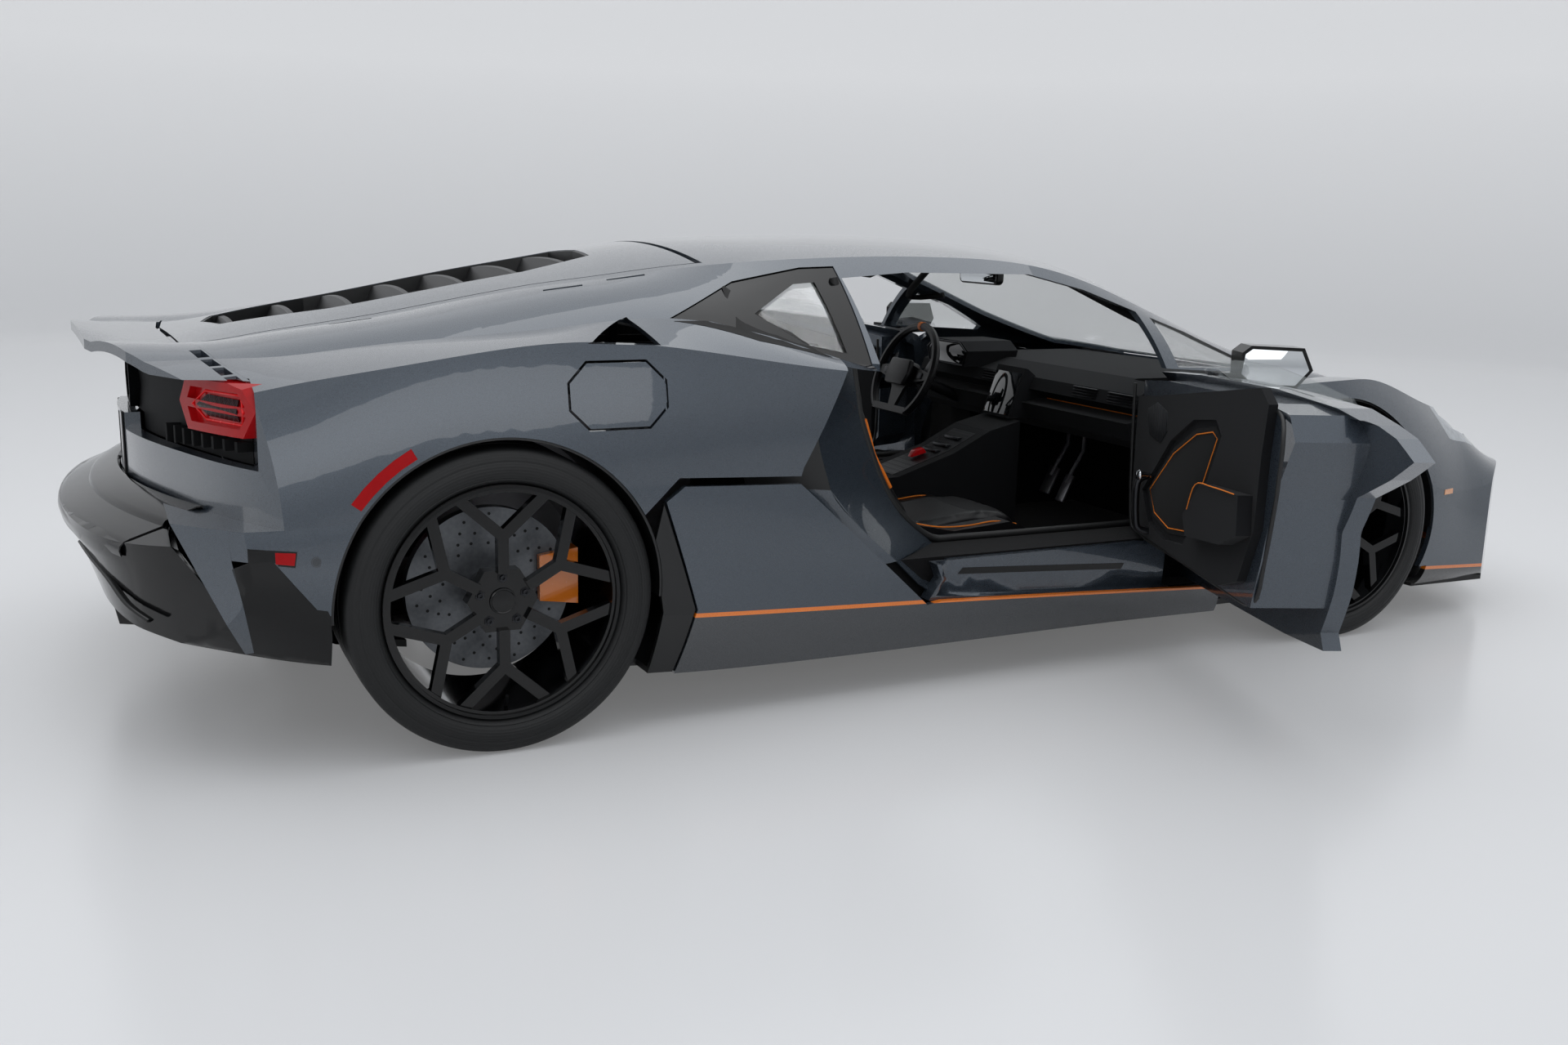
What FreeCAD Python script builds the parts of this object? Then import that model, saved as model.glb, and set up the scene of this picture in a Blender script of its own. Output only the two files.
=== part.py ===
import FreeCAD, Part
import math
import os

from FreeCAD import Placement, Rotation, Vector

os.makedirs("parts", exist_ok=True)
doc = FreeCAD.newDocument("mid_engined_coupe")

# Driving dimensions, in millimetres and degrees.
# X points forward, Y to the left, Z up, and the ground is at zero.
SIZES = {
    "body_length": 4706, "body_width": 1996, "body_height": 1201,
    "wheelbase": 2658, "tail_overhang": 923,
    "front_track": 1722, "rear_track": 1670,
    "front_tyre_radius": 343, "front_tyre_width": 255, "front_rim_radius": 266,
    "rear_tyre_radius": 364, "rear_tyre_width": 325, "rear_rim_radius": 279,
    "rim_wall": 8, "spoke_depth": 26, "spoke_width": 26, "hub_radius": 84,
    "bolt_circle": 112, "bolt_hole": 15,
    "disc_radius": 199, "disc_thickness": 34, "disc_inner_radius": 80,
    "front_arch_clearance": 62, "rear_arch_clearance": 24,
    "panel_thickness": 18, "glass_thickness": 6, "door_skin": 45,
    "shut_gap": 5, "door_front_gap": 7, "door_pillar_gap": 19, "seat_clearance": 0.3,
    "door_hinge_ahead": 690, "door_hinge_out": 880, "door_open_angle": 68,
    "door_front_edge": 765, "door_inner_face": 715, "card_thickness": 22,
    "hinge_pin_radius": 9, "hinge_arm_height": 30, "pin_clearance": 0.05,
    "sill_top": 350, "floor_top": 165, "floor_bottom": 125,
    "kingpin_out": 790, "steering_wheel_radius": 178, "steering_rim_radius": 15,
    "engine_length": 640, "engine_width": 620, "engine_height": 560,
    "shaft_radius": 20, "arch_liner": 6,
}

sheet = doc.addObject("Spreadsheet::Sheet", "sizes")
for row, (name, value) in enumerate(SIZES.items(), start=1):
    sheet.set("A%d" % row, name)
    sheet.set("B%d" % row, str(value))
    sheet.setAlias("B%d" % row, name)
doc.recompute()


def size(name):
    """Return a driving dimension from the sheet."""
    return float(sheet.get(name))


# Main places that follow from the driving dimensions.
nose_x = size("body_length") / 2
tail_x = -size("body_length") / 2
rear_axle_x = tail_x + size("tail_overhang")
front_axle_x = rear_axle_x + size("wheelbase")
half_width = size("body_width") / 2

# The drawing of the body was made for this car, and stretches with its sizes.
DRAWN_TAIL, DRAWN_REAR, DRAWN_FRONT, DRAWN_NOSE = -2353.0, -1430.0, 1228.0, 2353.0
DRAWN_HALF_WIDTH, DRAWN_HEIGHT = 998.0, 1201.0


def along(x):
    """Place of a drawn station between tail, axles and nose."""
    marks = [(DRAWN_TAIL, tail_x), (DRAWN_REAR, rear_axle_x),
             (DRAWN_FRONT, front_axle_x), (DRAWN_NOSE, nose_x)]
    for (a, real_a), (b, real_b) in zip(marks, marks[1:]):
        if x <= b or b == DRAWN_NOSE:
            return real_a + (x - a) * (real_b - real_a) / (b - a)


def across(y):
    """Distance from the centre line for a drawn distance."""
    return y * half_width / DRAWN_HALF_WIDTH


def up(z):
    """Height above the ground for a drawn height."""
    return z * size("body_height") / DRAWN_HEIGHT


def smooth(points, x):
    """Value at x on a smooth line through points that never overshoots them."""
    spans = [b[0] - a[0] for a, b in zip(points, points[1:])]
    slopes = [(b[1] - a[1]) / s for a, b, s in zip(points, points[1:], spans)]
    tangents = [slopes[0]]
    for k in range(1, len(slopes)):
        before, after = slopes[k - 1], slopes[k]
        if before * after <= 0:
            tangents.append(0.0)
        else:
            w1 = 2 * spans[k] + spans[k - 1]
            w2 = spans[k] + 2 * spans[k - 1]
            tangents.append((w1 + w2) / (w1 / before + w2 / after))
    tangents.append(slopes[-1])
    last = len(spans) - 1
    k = 0
    while k < last and x > points[k + 1][0]:
        k += 1
    u = (x - points[k][0]) / spans[k]
    rise = spans[k]
    return ((1 + 2 * u) * (1 - u) ** 2 * points[k][1] + u * (1 - u) ** 2 * rise * tangents[k]
            + u * u * (3 - 2 * u) * points[k + 1][1] + u * u * (u - 1) * rise * tangents[k + 1])


# Long lines of the body: station, distance from the centre, height.
SILL_LOW = [(-2420, 700, 345), (-2240, 780, 325), (-2000, 880, 275), (-1800, 930, 238), (-1020, 950, 135),
            (-340, 925, 118), (400, 905, 115), (830, 915, 115), (1600, 900, 118),
            (2117, 860, 118), (2420, 800, 118)]
STRIPE = [(-2420, 760, 430), (-2100, 935, 400), (-1820, 980, 380), (-950, 975, 285),
          (0, 938, 236), (746, 930, 196), (1250, 960, 186), (1660, 935, 180),
          (2117, 890, 152), (2420, 830, 150)]
WAIST = [(-2420, 800, 560), (-2100, 955, 560), (-1850, 988, 570), (-1430, 998, 600),
         (-1120, 990, 620), (-660, 958, 600), (-200, 928, 560), (400, 920, 520),
         (750, 928, 500), (1000, 955, 520), (1228, 975, 520), (1600, 950, 470), (1778, 912, 420),
         (2115, 850, 440), (2420, 770, 400)]
SHOULDER = [(-2420, 790, 850), (-2079, 880, 848), (-1958, 905, 858), (-1700, 935, 905),
            (-1430, 948, 945), (-1190, 938, 958), (-900, 935, 930), (-518, 928, 873),
            (-200, 912, 855), (218, 903, 852), (600, 905, 820), (900, 905, 792),
            (1228, 890, 800), (1366, 865, 798), (1600, 830, 735), (1920, 760, 616),
            (2115, 700, 505), (2420, 620, 405)]
GLASS_BASE = [(-2420, 560, 905), (-2096, 640, 905), (-1600, 700, 940), (-1200, 760, 985),
              (-950, 800, 1000), (-700, 850, 950), (-450, 878, 888), (0, 868, 868),
              (350, 862, 855), (700, 848, 830), (1000, 800, 802), (1250, 730, 792),
              (1366, 700, 785), (1600, 660, 705), (1920, 600, 600), (2115, 540, 492),
              (2420, 460, 400)]
RAIL = [(-2420, 300, 930), (-2096, 380, 922), (-1600, 430, 990), (-1200, 480, 1062),
        (-950, 530, 1098), (-700, 568, 1130), (-410, 595, 1148), (-100, 603, 1155),
        (250, 600, 1135), (570, 640, 1035), (900, 655, 908), (1250, 640, 800),
        (1366, 590, 772), (1600, 480, 692), (1920, 400, 592), (2115, 360, 487),
        (2420, 310, 398)]
CROWN = [(-2420, 0, 955), (-2280, 0, 945), (-2096, 0, 930), (-1871, 0, 970), (-1104, 0, 1116),
         (-701, 0, 1180), (-121, 0, 1201), (250, 0, 1190), (560, 0, 1140), (1000, 0, 935),
         (1330, 0, 790), (1600, 0, 700), (1920, 0, 598), (2115, 0, 505), (2353, 0, 425),
         (2420, 0, 402)]
FLOOR = [(-2420, 0, 345), (-2240, 0, 310), (-1800, 0, 160), (-1020, 0, 120), (2420, 0, 118)]
LINES = [FLOOR, SILL_LOW, STRIPE, WAIST, SHOULDER, GLASS_BASE, RAIL, CROWN]
# How far each strip between two lines swells past a straight one.
SWELLS = [0, 6, 10, 14, 3, 16, 0]
STATIONS = [-2420, -2250, -2100, -1950, -1750, -1430, -1150, -950, -700, -450, -200, 100, 400,
            600, 800, 1000, 1228, 1366, 1520, 1700, 1920, 2115, 2270, 2420]


def line_at(line, x):
    """Distance from the centre and height of one long line at a drawn station."""
    flat = [(p[0], p[1]) for p in line]
    tall = [(p[0], p[2]) for p in line]
    return across(smooth(flat, x)), up(smooth(tall, x))


def inset(points, depth):
    """Move the points of a half section inwards, square to its sides."""
    moved = []
    for k, (y, z) in enumerate(points):
        normals = []
        for a, b in ((k - 1, k), (k, k + 1)):
            if a < 0 or b >= len(points):
                continue
            dy, dz = points[b][0] - points[a][0], points[b][1] - points[a][1]
            reach = math.hypot(dy, dz)
            normals.append((-dz / reach, dy / reach))
        if k == 0:
            moved.append((0.0, z + depth))
        elif k == len(points) - 1:
            moved.append((0.0, z - depth))
        else:
            ny = normals[0][0] + normals[1][0]
            nz = normals[0][1] + normals[1][1]
            scale = 2 * depth / (ny * ny + nz * nz)
            moved.append((y + ny * scale, z + nz * scale))
    return moved


def section(x, depth):
    """Closed wire of the body's cross-section at a drawn station."""
    half = inset([line_at(line, x) for line in LINES], depth)
    left, right = [], []
    for k, swell in enumerate(SWELLS):
        (y0, z0), (y1, z1) = half[k], half[k + 1]
        reach = math.hypot(y1 - y0, z1 - z0)
        cy = (y0 + y1) / 2 + (z1 - z0) / reach * 2 * swell
        cz = (z0 + z1) / 2 - (y1 - y0) / reach * 2 * swell
        if k == len(SWELLS) - 1:
            cy, cz = y0 / 2, z1
        for side, edges in ((1, left), (-1, right)):
            poles = [Vector(along(x), side * y0, z0), Vector(along(x), side * cy, cz),
                     Vector(along(x), side * y1, z1)]
            curve = Part.BezierCurve()
            curve.setPoles(poles)
            edges.append(curve.toShape())
    return Part.Wire(left + right[::-1])


def body_form(depth):
    """Solid inside the body's outer face, moved in by a depth."""
    return Part.makeLoft([section(x, depth) for x in STATIONS], True, False)


forms = {}


def form(depth):
    """Body form moved in by a depth, made once for each depth."""
    if depth not in forms:
        forms[depth] = body_form(depth)
    return forms[depth]


def layer(block, near, far):
    """Part of a block that lies between two depths below the body's skin."""
    kept = block.common(form(near)) if near else block.common(outer)
    return kept.cut(form(far))


def side_block(points, near, far, side=1):
    """Prism with a side outline, from one distance off the centre to another."""
    corners = [Vector(along(x), side * near, up(z)) for x, z in points]
    face = Part.Face(Part.makePolygon(corners + corners[:1]))
    return face.extrude(Vector(0, side * (far - near), 0))


def plan_block(points, low, high, side=1):
    """Prism with a plan outline, from one height to another."""
    corners = [Vector(along(x), side * across(y), low) for x, y in points]
    face = Part.Face(Part.makePolygon(corners + corners[:1]))
    return face.extrude(Vector(0, 0, high - low))


def both_sides(points):
    """Close a half plan outline with its mirror image."""
    return points + [(x, -y) for x, y in reversed(points) if y > 0]


def box(x0, x1, y0, y1, z0, z1):
    """Box between two corners."""
    return Part.makeBox(x1 - x0, y1 - y0, z1 - z0, Vector(x0, y0, z0))


def rod(radius, start, end):
    """Round bar between two points."""
    reach = Vector(*end) - Vector(*start)
    return Part.makeCylinder(radius, reach.Length, Vector(*start), reach)


def mirrored(shape):
    """Copy of a shape on the other side of the centre line."""
    return shape.mirror(Vector(0, 0, 0), Vector(0, 1, 0))


def fused(shapes):
    """One solid of touching shapes, with no seams left in flat faces."""
    whole = shapes[0].multiFuse(shapes[1:])
    return whole.removeSplitter()


pieces = []


def keep(name, shape, placement=None):
    """Add a sub-part to the document under its own label."""
    feature = doc.addObject("Part::Feature", name)
    feature.Label = name
    solids = shape.Solids
    feature.Shape = solids[0] if len(solids) == 1 else Part.makeCompound(solids)
    if placement:
        feature.Placement = placement
    pieces.append(feature)
    return feature


# The body as one hollow form, from which the panels are parted.
wall = size("panel_thickness")
gap = size("shut_gap")
fit = size("seat_clearance")
TALL = 2000.0

TAIL_UPPER = [(-2200, 0), (-2165, 300), (-2079, 600), (-1958, 900), (-1850, 1060)]
TAIL_LOWER = [(-2353, 0), (-2325, 350), (-2240, 650), (-2080, 880), (-1900, 1060)]
SHELF_HEIGHT = 570


NOSE_PLAN = [(2353, 0), (2330, 320), (2258, 560), (2145, 750), (1980, 880), (1800, 1060)]


def nose_limit(back):
    """Everything behind the nose's curved face, moved back by a distance."""
    left = [Vector(along(x) - back, across(y), -10) for x, y in NOSE_PLAN]
    right = [Vector(p.x, -p.y, p.z) for p in left]
    spline = Part.BSplineCurve()
    spline.interpolate(right[:0:-1] + left)
    ends = [Vector(tail_x - 100, left[-1].y, -10), Vector(tail_x - 100, right[-1].y, -10)]
    rest = Part.makePolygon([left[-1], ends[0], ends[1], right[-1]])
    return Part.Face(Part.Wire([spline.toShape()] + rest.Edges)).extrude(Vector(0, 0, TALL))


def tail_limit(forward, shelf):
    """Everything ahead of the tail's two curved faces, moved forward by a distance."""
    blocks = []
    for outline, low, high in ((TAIL_LOWER, -10, up(shelf)), (TAIL_UPPER, up(shelf), TALL)):
        left = [Vector(along(x) + forward, across(y), low) for x, y in outline]
        right = [Vector(p.x, -p.y, p.z) for p in left]
        spline = Part.BSplineCurve()
        spline.interpolate(right[:0:-1] + left)
        rear = spline.toShape()
        ends = [Vector(nose_x + 150, left[-1].y, low), Vector(nose_x + 150, right[-1].y, low)]
        front = Part.makePolygon([left[-1], ends[0], ends[1], right[-1]])
        face = Part.Face(Part.Wire([rear] + front.Edges))
        blocks.append(face.extrude(Vector(0, 0, high - low)))
    return blocks[0].fuse(blocks[1])


outer = form(0).common(tail_limit(0, SHELF_HEIGHT)).common(nose_limit(0))
inner = form(wall).common(tail_limit(2 * wall, SHELF_HEIGHT - 2 * wall)).common(nose_limit(2 * wall))
front_arch_radius = size("front_tyre_radius") + size("front_arch_clearance")
rear_arch_radius = size("rear_tyre_radius") + size("rear_arch_clearance")
front_arch_inner = 545.0
rear_arch_inner = 655.0


def arch(x, z, radius, near, side):
    """Round space for one wheel, open to the side."""
    return rod(radius, (x, side * near, z), (x, side * TALL, z))


arches = []
for side in (1, -1):
    arches.append(arch(front_axle_x, size("front_tyre_radius"), front_arch_radius, front_arch_inner, side))
    arches.append(arch(rear_axle_x, size("rear_tyre_radius"), rear_arch_radius, rear_arch_inner, side))
shell = outer.cut(inner).cut(Part.makeCompound(arches))

# Outlines of the openings and panels, drawn from the side or from above.
front_edge = size("door_front_edge")
hinge_x, hinge_out = size("door_hinge_ahead"), size("door_hinge_out")
swing_radius = math.hypot(front_edge - hinge_x, line_at(WAIST, front_edge)[0] - hinge_out) + gap + 4
DOOR_OUTLINE = [(front_edge, 830), (500, 848), (0, 868), (-299, 859), (-412, 836), (-482, 817),
                (-545, 776), (-453, 722), (-317, 656), (-283, 574), (-263, 492), (-236, 406),
                (-190, 300), (-216, 262), (0, 244), (370, 226), (front_edge, 208)]
DOOR_FRAME = [(front_edge - 45, 808), (500, 830), (0, 851), (-200, 855), (-330, 846), (-372, 790),
              (-285, 645), (-245, 489), (-205, 365), (front_edge - 95, 365), (front_edge - 45, 413)]


def grown(points, distance, near, far, side):
    """Side prism grown all round by a distance."""
    corners = [Vector(along(x), side * near, up(z)) for x, z in points]
    face = Part.Face(Part.makePolygon(corners + corners[:1]))
    return face.makeOffset2D(distance, join=2).extrude(Vector(0, side * (far - near), 0))


def plan_both(points, low, high, distance=0):
    """Prism of a whole plan outline, grown by a distance."""
    outline = both_sides(points)
    corners = [Vector(along(x), across(y), low) for x, y in outline]
    face = Part.Face(Part.makePolygon(corners + corners[:1]))
    if distance:
        face = face.makeOffset2D(distance, join=2)
    return face.extrude(Vector(0, 0, high - low))


def rear_block(points, ahead, side=1):
    """Prism with an outline drawn from behind, as far forward as a station."""
    corners = [Vector(tail_x - 60, side * across(y), up(z)) for y, z in points]
    face = Part.Face(Part.makePolygon(corners + corners[:1]))
    return face.extrude(Vector(along(ahead) - tail_x + 60, 0, 0))


lid_front = [(1380, 0), (1380, 600), (1700, 560), (1925, 520), (1990, 250), (2000, 0)]
lid_front_space = [(1346, 0), (1346, 600), (1380, 600)] + lid_front[2:]
lid_engine = [(-778, 0), (-778, 520), (-1200, 440), (-1700, 395), (-2060, 375), (-2085, 0)]
lid_engine_space = [(-752, 0), (-752, 526), (-778, 520)] + lid_engine[2:]
screen = [(490, 0), (470, 300), (400, 520), (560, 590), (900, 612), (1230, 600), (1320, 300), (1340, 0)]
lamp_plan = [(1640, 640), (1640, 760), (1800, 840), (1960, 800), (2040, 690), (2010, 610), (1900, 600)]
roof_half = [(x, line_at(GLASS_BASE, x)[0] * DRAWN_HALF_WIDTH / half_width)
             for x in (-760, -450, -200, 200, 600, 1000, 1250, 1345)]
roof_plan = [(-760, 0)] + roof_half + [(1345, 0)]
roof_space = plan_both(roof_plan, up(780), TALL)
front_lid_cut = plan_both(lid_front_space, up(450), TALL, gap)
engine_lid_cut = plan_both(lid_engine_space, up(800), TALL, gap)

# Roof, pillars, the dark panels round the rear side windows, and the fixed glass.
side_window = [(-395, 780), (-410, 1096), (-200, 1112), (218, 1108), (400, 1065), (575, 1002),
               (575, 780)]
front_quarter = [(625, 850), (625, 985), (760, 940), (960, 850), (960, 835)]
rear_quarter = [(-488, 912), (-495, 1085), (-560, 1080), (-715, 1010), (-600, 935)]
SAIL = [(-955, 1002), (-730, 1086), (-516, 1122), (-416, 1126), (-424, 872), (-520, 902), (-700, 958),
        (-850, 994)]
roof = shell.common(roof_space).cut(plan_both(screen, up(700), TALL))
sails = []
for side in (1, -1):
    for outline in (side_window, front_quarter):
        roof = roof.cut(side_block(outline, 400, 1000, side))
    roof = roof.cut(grown(SAIL, fit, 400, 1000, side))
    roof = roof.cut(grown(DOOR_OUTLINE, gap, 500, 1200, side))
    sail = layer(side_block(SAIL, 400, 1000, side), 3, wall).cut(side_block(rear_quarter, 400, 1000, side))
    sails.append(sail)
keep("roof_and_pillars", roof)
keep("sail_panels", Part.makeCompound(sails))
glass = size("glass_thickness")
keep("windscreen", layer(plan_both(screen, up(700), TALL, -fit), 0, glass))
quarters = []
for side in (1, -1):
    quarters.append(layer(grown(front_quarter, -fit, 400, 1000, side).common(roof_space), 0, glass))
    quarters.append(layer(grown(rear_quarter, -fit, 400, 1000, side), 5, 5 + glass))
keep("quarter_windows", Part.makeCompound(quarters))

# Lids, hinged on pins that the tub carries.
HINGE_PIN = 8.0
pin_gap = size("pin_clearance")
lid_hinge = (along(1500), up(694))
deck_hinge = (along(-880), up(1115))
LID_HINGE_OUT = 380.0
DECK_HINGE_OUT = 150.0
LUG_WIDTH = 28.0


def lid_lugs(x, z, out, top):
    """Pair of hanging lugs, bored for the hinge pins."""
    lugs = []
    for side in (1, -1):
        near, far = sorted((side * out, side * (out + LUG_WIDTH)))
        block = box(x - 14, x + 14, near, far, z, top).fuse(rod(14, (x, near, z), (x, far, z)))
        lugs.append(block.cut(rod(HINGE_PIN + pin_gap, (x, near - 1, z), (x, far + 1, z))))
    return lugs


lid = shell.common(plan_both(lid_front, up(470), TALL))
lid = lid.multiFuse([part.common(outer) for part in
                     lid_lugs(lid_hinge[0], lid_hinge[1], LID_HINGE_OUT, lid_hinge[1] + 60)])
keep("front_lid", lid)

# Engine lid: a six-sided channel down its middle holds a louvred grille.
CHANNEL = [(-945, 0), (-965, 190), (-1180, 262), (-1690, 238), (-1950, 150), (-1985, 0)]
GRILLE_FLOOR, GRILLE_WALL = 44.0, 8.0
LOUVRES = 7
deck = shell.common(plan_both(lid_engine, up(820), TALL))
deck = deck.cut(plan_both(CHANNEL, up(820), TALL))
deck = deck.multiFuse([part.common(outer) for part in
                       lid_lugs(deck_hinge[0], deck_hinge[1], DECK_HINGE_OUT, deck_hinge[1] + 60)])
keep("engine_lid", deck)
channel = plan_both(CHANNEL, up(820), TALL, -fit)
channel_core = plan_both(CHANNEL, up(820), TALL, -fit - GRILLE_WALL)
grille = layer(channel, 2, GRILLE_FLOOR + 8).cut(channel_core.cut(form(GRILLE_FLOOR)))
slats = []
for k in range(LOUVRES):
    ahead = -1020 - k * 880 / (LOUVRES - 1)
    top = line_at(CROWN, ahead)[1]
    slat = side_block([(ahead, top + 20), (ahead - 46, top - 90), (ahead - 60, top - 90), (ahead - 12, top + 20)],
                      -300, 300)
    slats.append(slat)
louvres = layer(Part.makeCompound(slats).common(channel), 6, GRILLE_FLOOR + 4)
keep("engine_grille", grille.multiFuse(louvres.Solids))

# Side panels.
arch_front_edge = 1640
fender_start = front_edge + size("door_front_gap")
fender_outline = [(fender_start, 196), (fender_start, 1300), (1900, 1300), (1900, 600),
                  (arch_front_edge, 560), (arch_front_edge, 190)]
quarter_outline = [(-518, 1400), (-518, 880), (-655, 638), (-661, 616), (-1000, 634), (-1300, 360),
                   (-1820, 370), (-1948, 690), (-1948, 880), (-2300, 880), (-2300, 1400)]
skirt_outline = [(-661, 596), (-985, 612), (-1035, 578), (-946, 300), (-1008, 100), (fender_start, 100),
                 (fender_start, 196), (-216, 246), (-265, 240)]
BLADE = [(-1040, 572), (-951, 300), (-1013, 100), (-1075, 100), (-1035, 300), (-1066, 470)]
INTAKE = [(-1215, 955), (-1060, 1004), (-1030, 948)]
lamp_cut = [plan_block(lamp_plan, up(470), TALL, side) for side in (1, -1)]
SPOILER_PLAN = [(-2295, 0), (-2268, 300), (-2185, 560), (-2075, 790), (-1975, 905), (-1925, 905),
                (-1990, 700), (-2050, 480), (-2075, 375), (-2095, 0)]
spoiler_space = plan_both(SPOILER_PLAN, up(876), TALL)
spoiler_cut = plan_both(SPOILER_PLAN, up(876), TALL, fit)


def skin_out(x, z):
    """Distance of the body's side from the centre line at a drawn place."""
    probe = Part.makeLine(Vector(along(x), across(600), up(z)), Vector(along(x), across(1200), up(z)))
    return probe.common(outer).BoundBox.YMax


def arc_points(x, z, radius, start, end, steps):
    """Points on a side-view arc, from one angle above the forward line to another."""
    turns = [math.radians(start + (end - start) * k / steps) for k in range(steps + 1)]
    return [(x + radius * math.cos(t), z + radius * math.sin(t)) for t in turns]


LAMP_RING = [(598, 812), (636, 868), (868, 873), (917, 816), (874, 756), (636, 750)]
LAMP_WELLS = ([(640, 822), (660, 850), (860, 854), (885, 824)], [(640, 802), (655, 770), (862, 774), (888, 804)])
REFLECTOR_IN, REFLECTOR_OUT = 398.0, 424.0
reflector_outline = (arc_points(DRAWN_REAR, 364, REFLECTOR_IN, 119, 143, 4)
                     + arc_points(DRAWN_REAR, 364, REFLECTOR_OUT, 143, 119, 4))

# Fuel flap on the right side, turning on a pin along its front edge.
FLAP_OUTLINE = [(-1222, 762), (-1075, 762), (-1030, 807), (-1030, 866), (-1075, 911), (-1222, 911),
                (-1267, 866), (-1267, 807)]
FLAP_GAP = 6.0
FLAP_PIN = 2.5
FLAP_KNUCKLE = 4.5
FLAP_THICKNESS = 6.0
FLAP_HINGE_X = -1030
flap_points = []
for z in (797, 876):
    flap_points.append(Vector(along(FLAP_HINGE_X), -(skin_out(FLAP_HINGE_X, z) - FLAP_KNUCKLE), up(z)))
flap_low, flap_high = flap_points
flap = layer(side_block(FLAP_OUTLINE, 800, 1200, -1), 0, FLAP_THICKNESS)
flap_axis = (flap_high - flap_low).normalize()
print("flap hinge", flap_low, flap_axis)
knuckle = rod(FLAP_KNUCKLE, tuple(flap_low + flap_axis * 18), tuple(flap_high - flap_axis * 18))
flap = flap.fuse(knuckle).cut(rod(FLAP_PIN + pin_gap, tuple(flap_low), tuple(flap_high)))
keep("fuel_flap", flap)
JAMB_DEPTH = size("door_skin") + 5
JAMB_WALL = 12
SLIT_STARTS = (-930, -1100, -1620)
jamb_reach = [(-700, 200), (-700, 792), (-345, 792), (-250, 600), (-150, 380), (hinge_x - 100, 380),
              (hinge_x - 100, 200)]
opening = grown(DOOR_OUTLINE, gap, 500, 1200, 1)
fender = shell.common(side_block(fender_outline, 300, 1200)).cut(roof_space)
fender = fender.cut(front_lid_cut).cut(lamp_cut[0])
fender = fender.cut(rod(swing_radius, (hinge_x, hinge_out, up(190)), (hinge_x, hinge_out, TALL)))
quarter = shell.common(side_block(quarter_outline, 250, 1200)).cut(roof_space)
quarter = quarter.cut(engine_lid_cut).cut(opening).cut(spoiler_cut)
quarter = quarter.cut(grown(SAIL, fit, 400, 1000, 1)).cut(side_block(INTAKE, 700, 1000))
quarter = quarter.cut(grown(reflector_outline, fit, 800, 1200, 1))
for start in SLIT_STARTS:
    out = 545 if start > -1300 else 470
    slit = [(start, out), (start - 100, out - 14), (start - 104, out), (start - 4, out + 15)]
    quarter = quarter.cut(plan_block(slit, up(900), TALL))
behind = grown(DOOR_OUTLINE, gap + 14, 700, 1200, 1).common(side_block(jamb_reach, 700, 1200))
rim = behind.cut(grown(DOOR_OUTLINE, gap + 2, 700, 1200, 1))
face = behind.cut(grown(DOOR_FRAME, 20, 700, 1200, 1))
flange = box(along(-170), hinge_x - 100, 868.3, 1000, up(333), up(345))
jamb = layer(face, JAMB_DEPTH, JAMB_DEPTH + JAMB_WALL)
jamb = jamb.fuse(layer(rim, wall + fit, JAMB_DEPTH + JAMB_WALL)).fuse(flange.common(form(JAMB_DEPTH)))
jamb = jamb.cut(box(along(-700), front_edge, 0, 868.3, 0, up(400)))
skirt = shell.common(side_block(skirt_outline, 860, 1200)).cut(opening)
lamp_holes = [rear_block(LAMP_RING, -1905, side) for side in (1, -1)]
quarter = quarter.cut(lamp_holes[0])
keep("rear_quarter_left", quarter)
quarter = mirrored(quarter).cut(grown(FLAP_OUTLINE, FLAP_GAP, 800, 1200, -1))
keep("rear_quarter_right", quarter.fuse(rod(FLAP_PIN, tuple(flap_low), tuple(flap_high))))
fenders = [fender, mirrored(fender)]
skirts = [skirt, mirrored(skirt)]
jambs = [jamb, mirrored(jamb)]

keep("front_fenders", Part.makeCompound(fenders))
keep("side_skirts", Part.makeCompound(skirts))
keep("door_jambs", Part.makeCompound(jambs))

# Front end: bumper with three intakes, grilles set back in them, splitter and headlamps.
SIDE_INTAKE = [(370, 190), (360, 330), (640, 350), (770, 330), (790, 215), (720, 185)]
MIDDLE_INTAKE = [(270, 195), (300, 250), (250, 300), (-250, 300), (-300, 250), (-270, 195)]
front_space = box(along(arch_front_edge), nose_x + 50, -TALL, TALL, -10, TALL)
bumper = shell.common(front_space).cut(front_lid_cut)
grilles = []
BAR_PITCH = 34
GRILLE_RIM = 12
GRILLE_DEPTH = 8
for side in (1, -1):
    bumper = bumper.cut(side_block(fender_outline, 300, 1200, side)).cut(lamp_cut[0 if side == 1 else 1])
for outline, side in ((SIDE_INTAKE, 1), (SIDE_INTAKE, -1), (MIDDLE_INTAKE, 1)):
    corners = [Vector(along(1900), side * across(y), up(z)) for y, z in outline]
    mouth = Part.Face(Part.makePolygon(corners + corners[:1]))
    ahead = Vector(nose_x + 50 - along(1900), 0, 0)
    bumper = bumper.cut(mouth.extrude(ahead))
    plug = mouth.makeOffset2D(-fit, join=2).extrude(ahead).common(form(8))
    plug = plug.common(nose_limit(2 * wall - GRILLE_DEPTH)).cut(nose_limit(2 * wall))
    window = mouth.makeOffset2D(-GRILLE_RIM, join=2).extrude(ahead)
    reach = plug.BoundBox
    for k in range(5):
        level = up(178) + k * BAR_PITCH
        slot = box(reach.XMin - 5, reach.XMax + 5, reach.YMin, reach.YMax, level + 9, level + BAR_PITCH)
        plug = plug.cut(window.common(slot))
    grilles.extend(plug.Solids)
keep("front_bumper", bumper)
keep("front_grilles", Part.makeCompound(grilles))
splitter_plan = [(1660, 0), (1660, 870), (1980, 880), (2145, 750), (2258, 560), (2330, 320), (2353, 0)]
splitter_top = up(118) - fit
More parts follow.
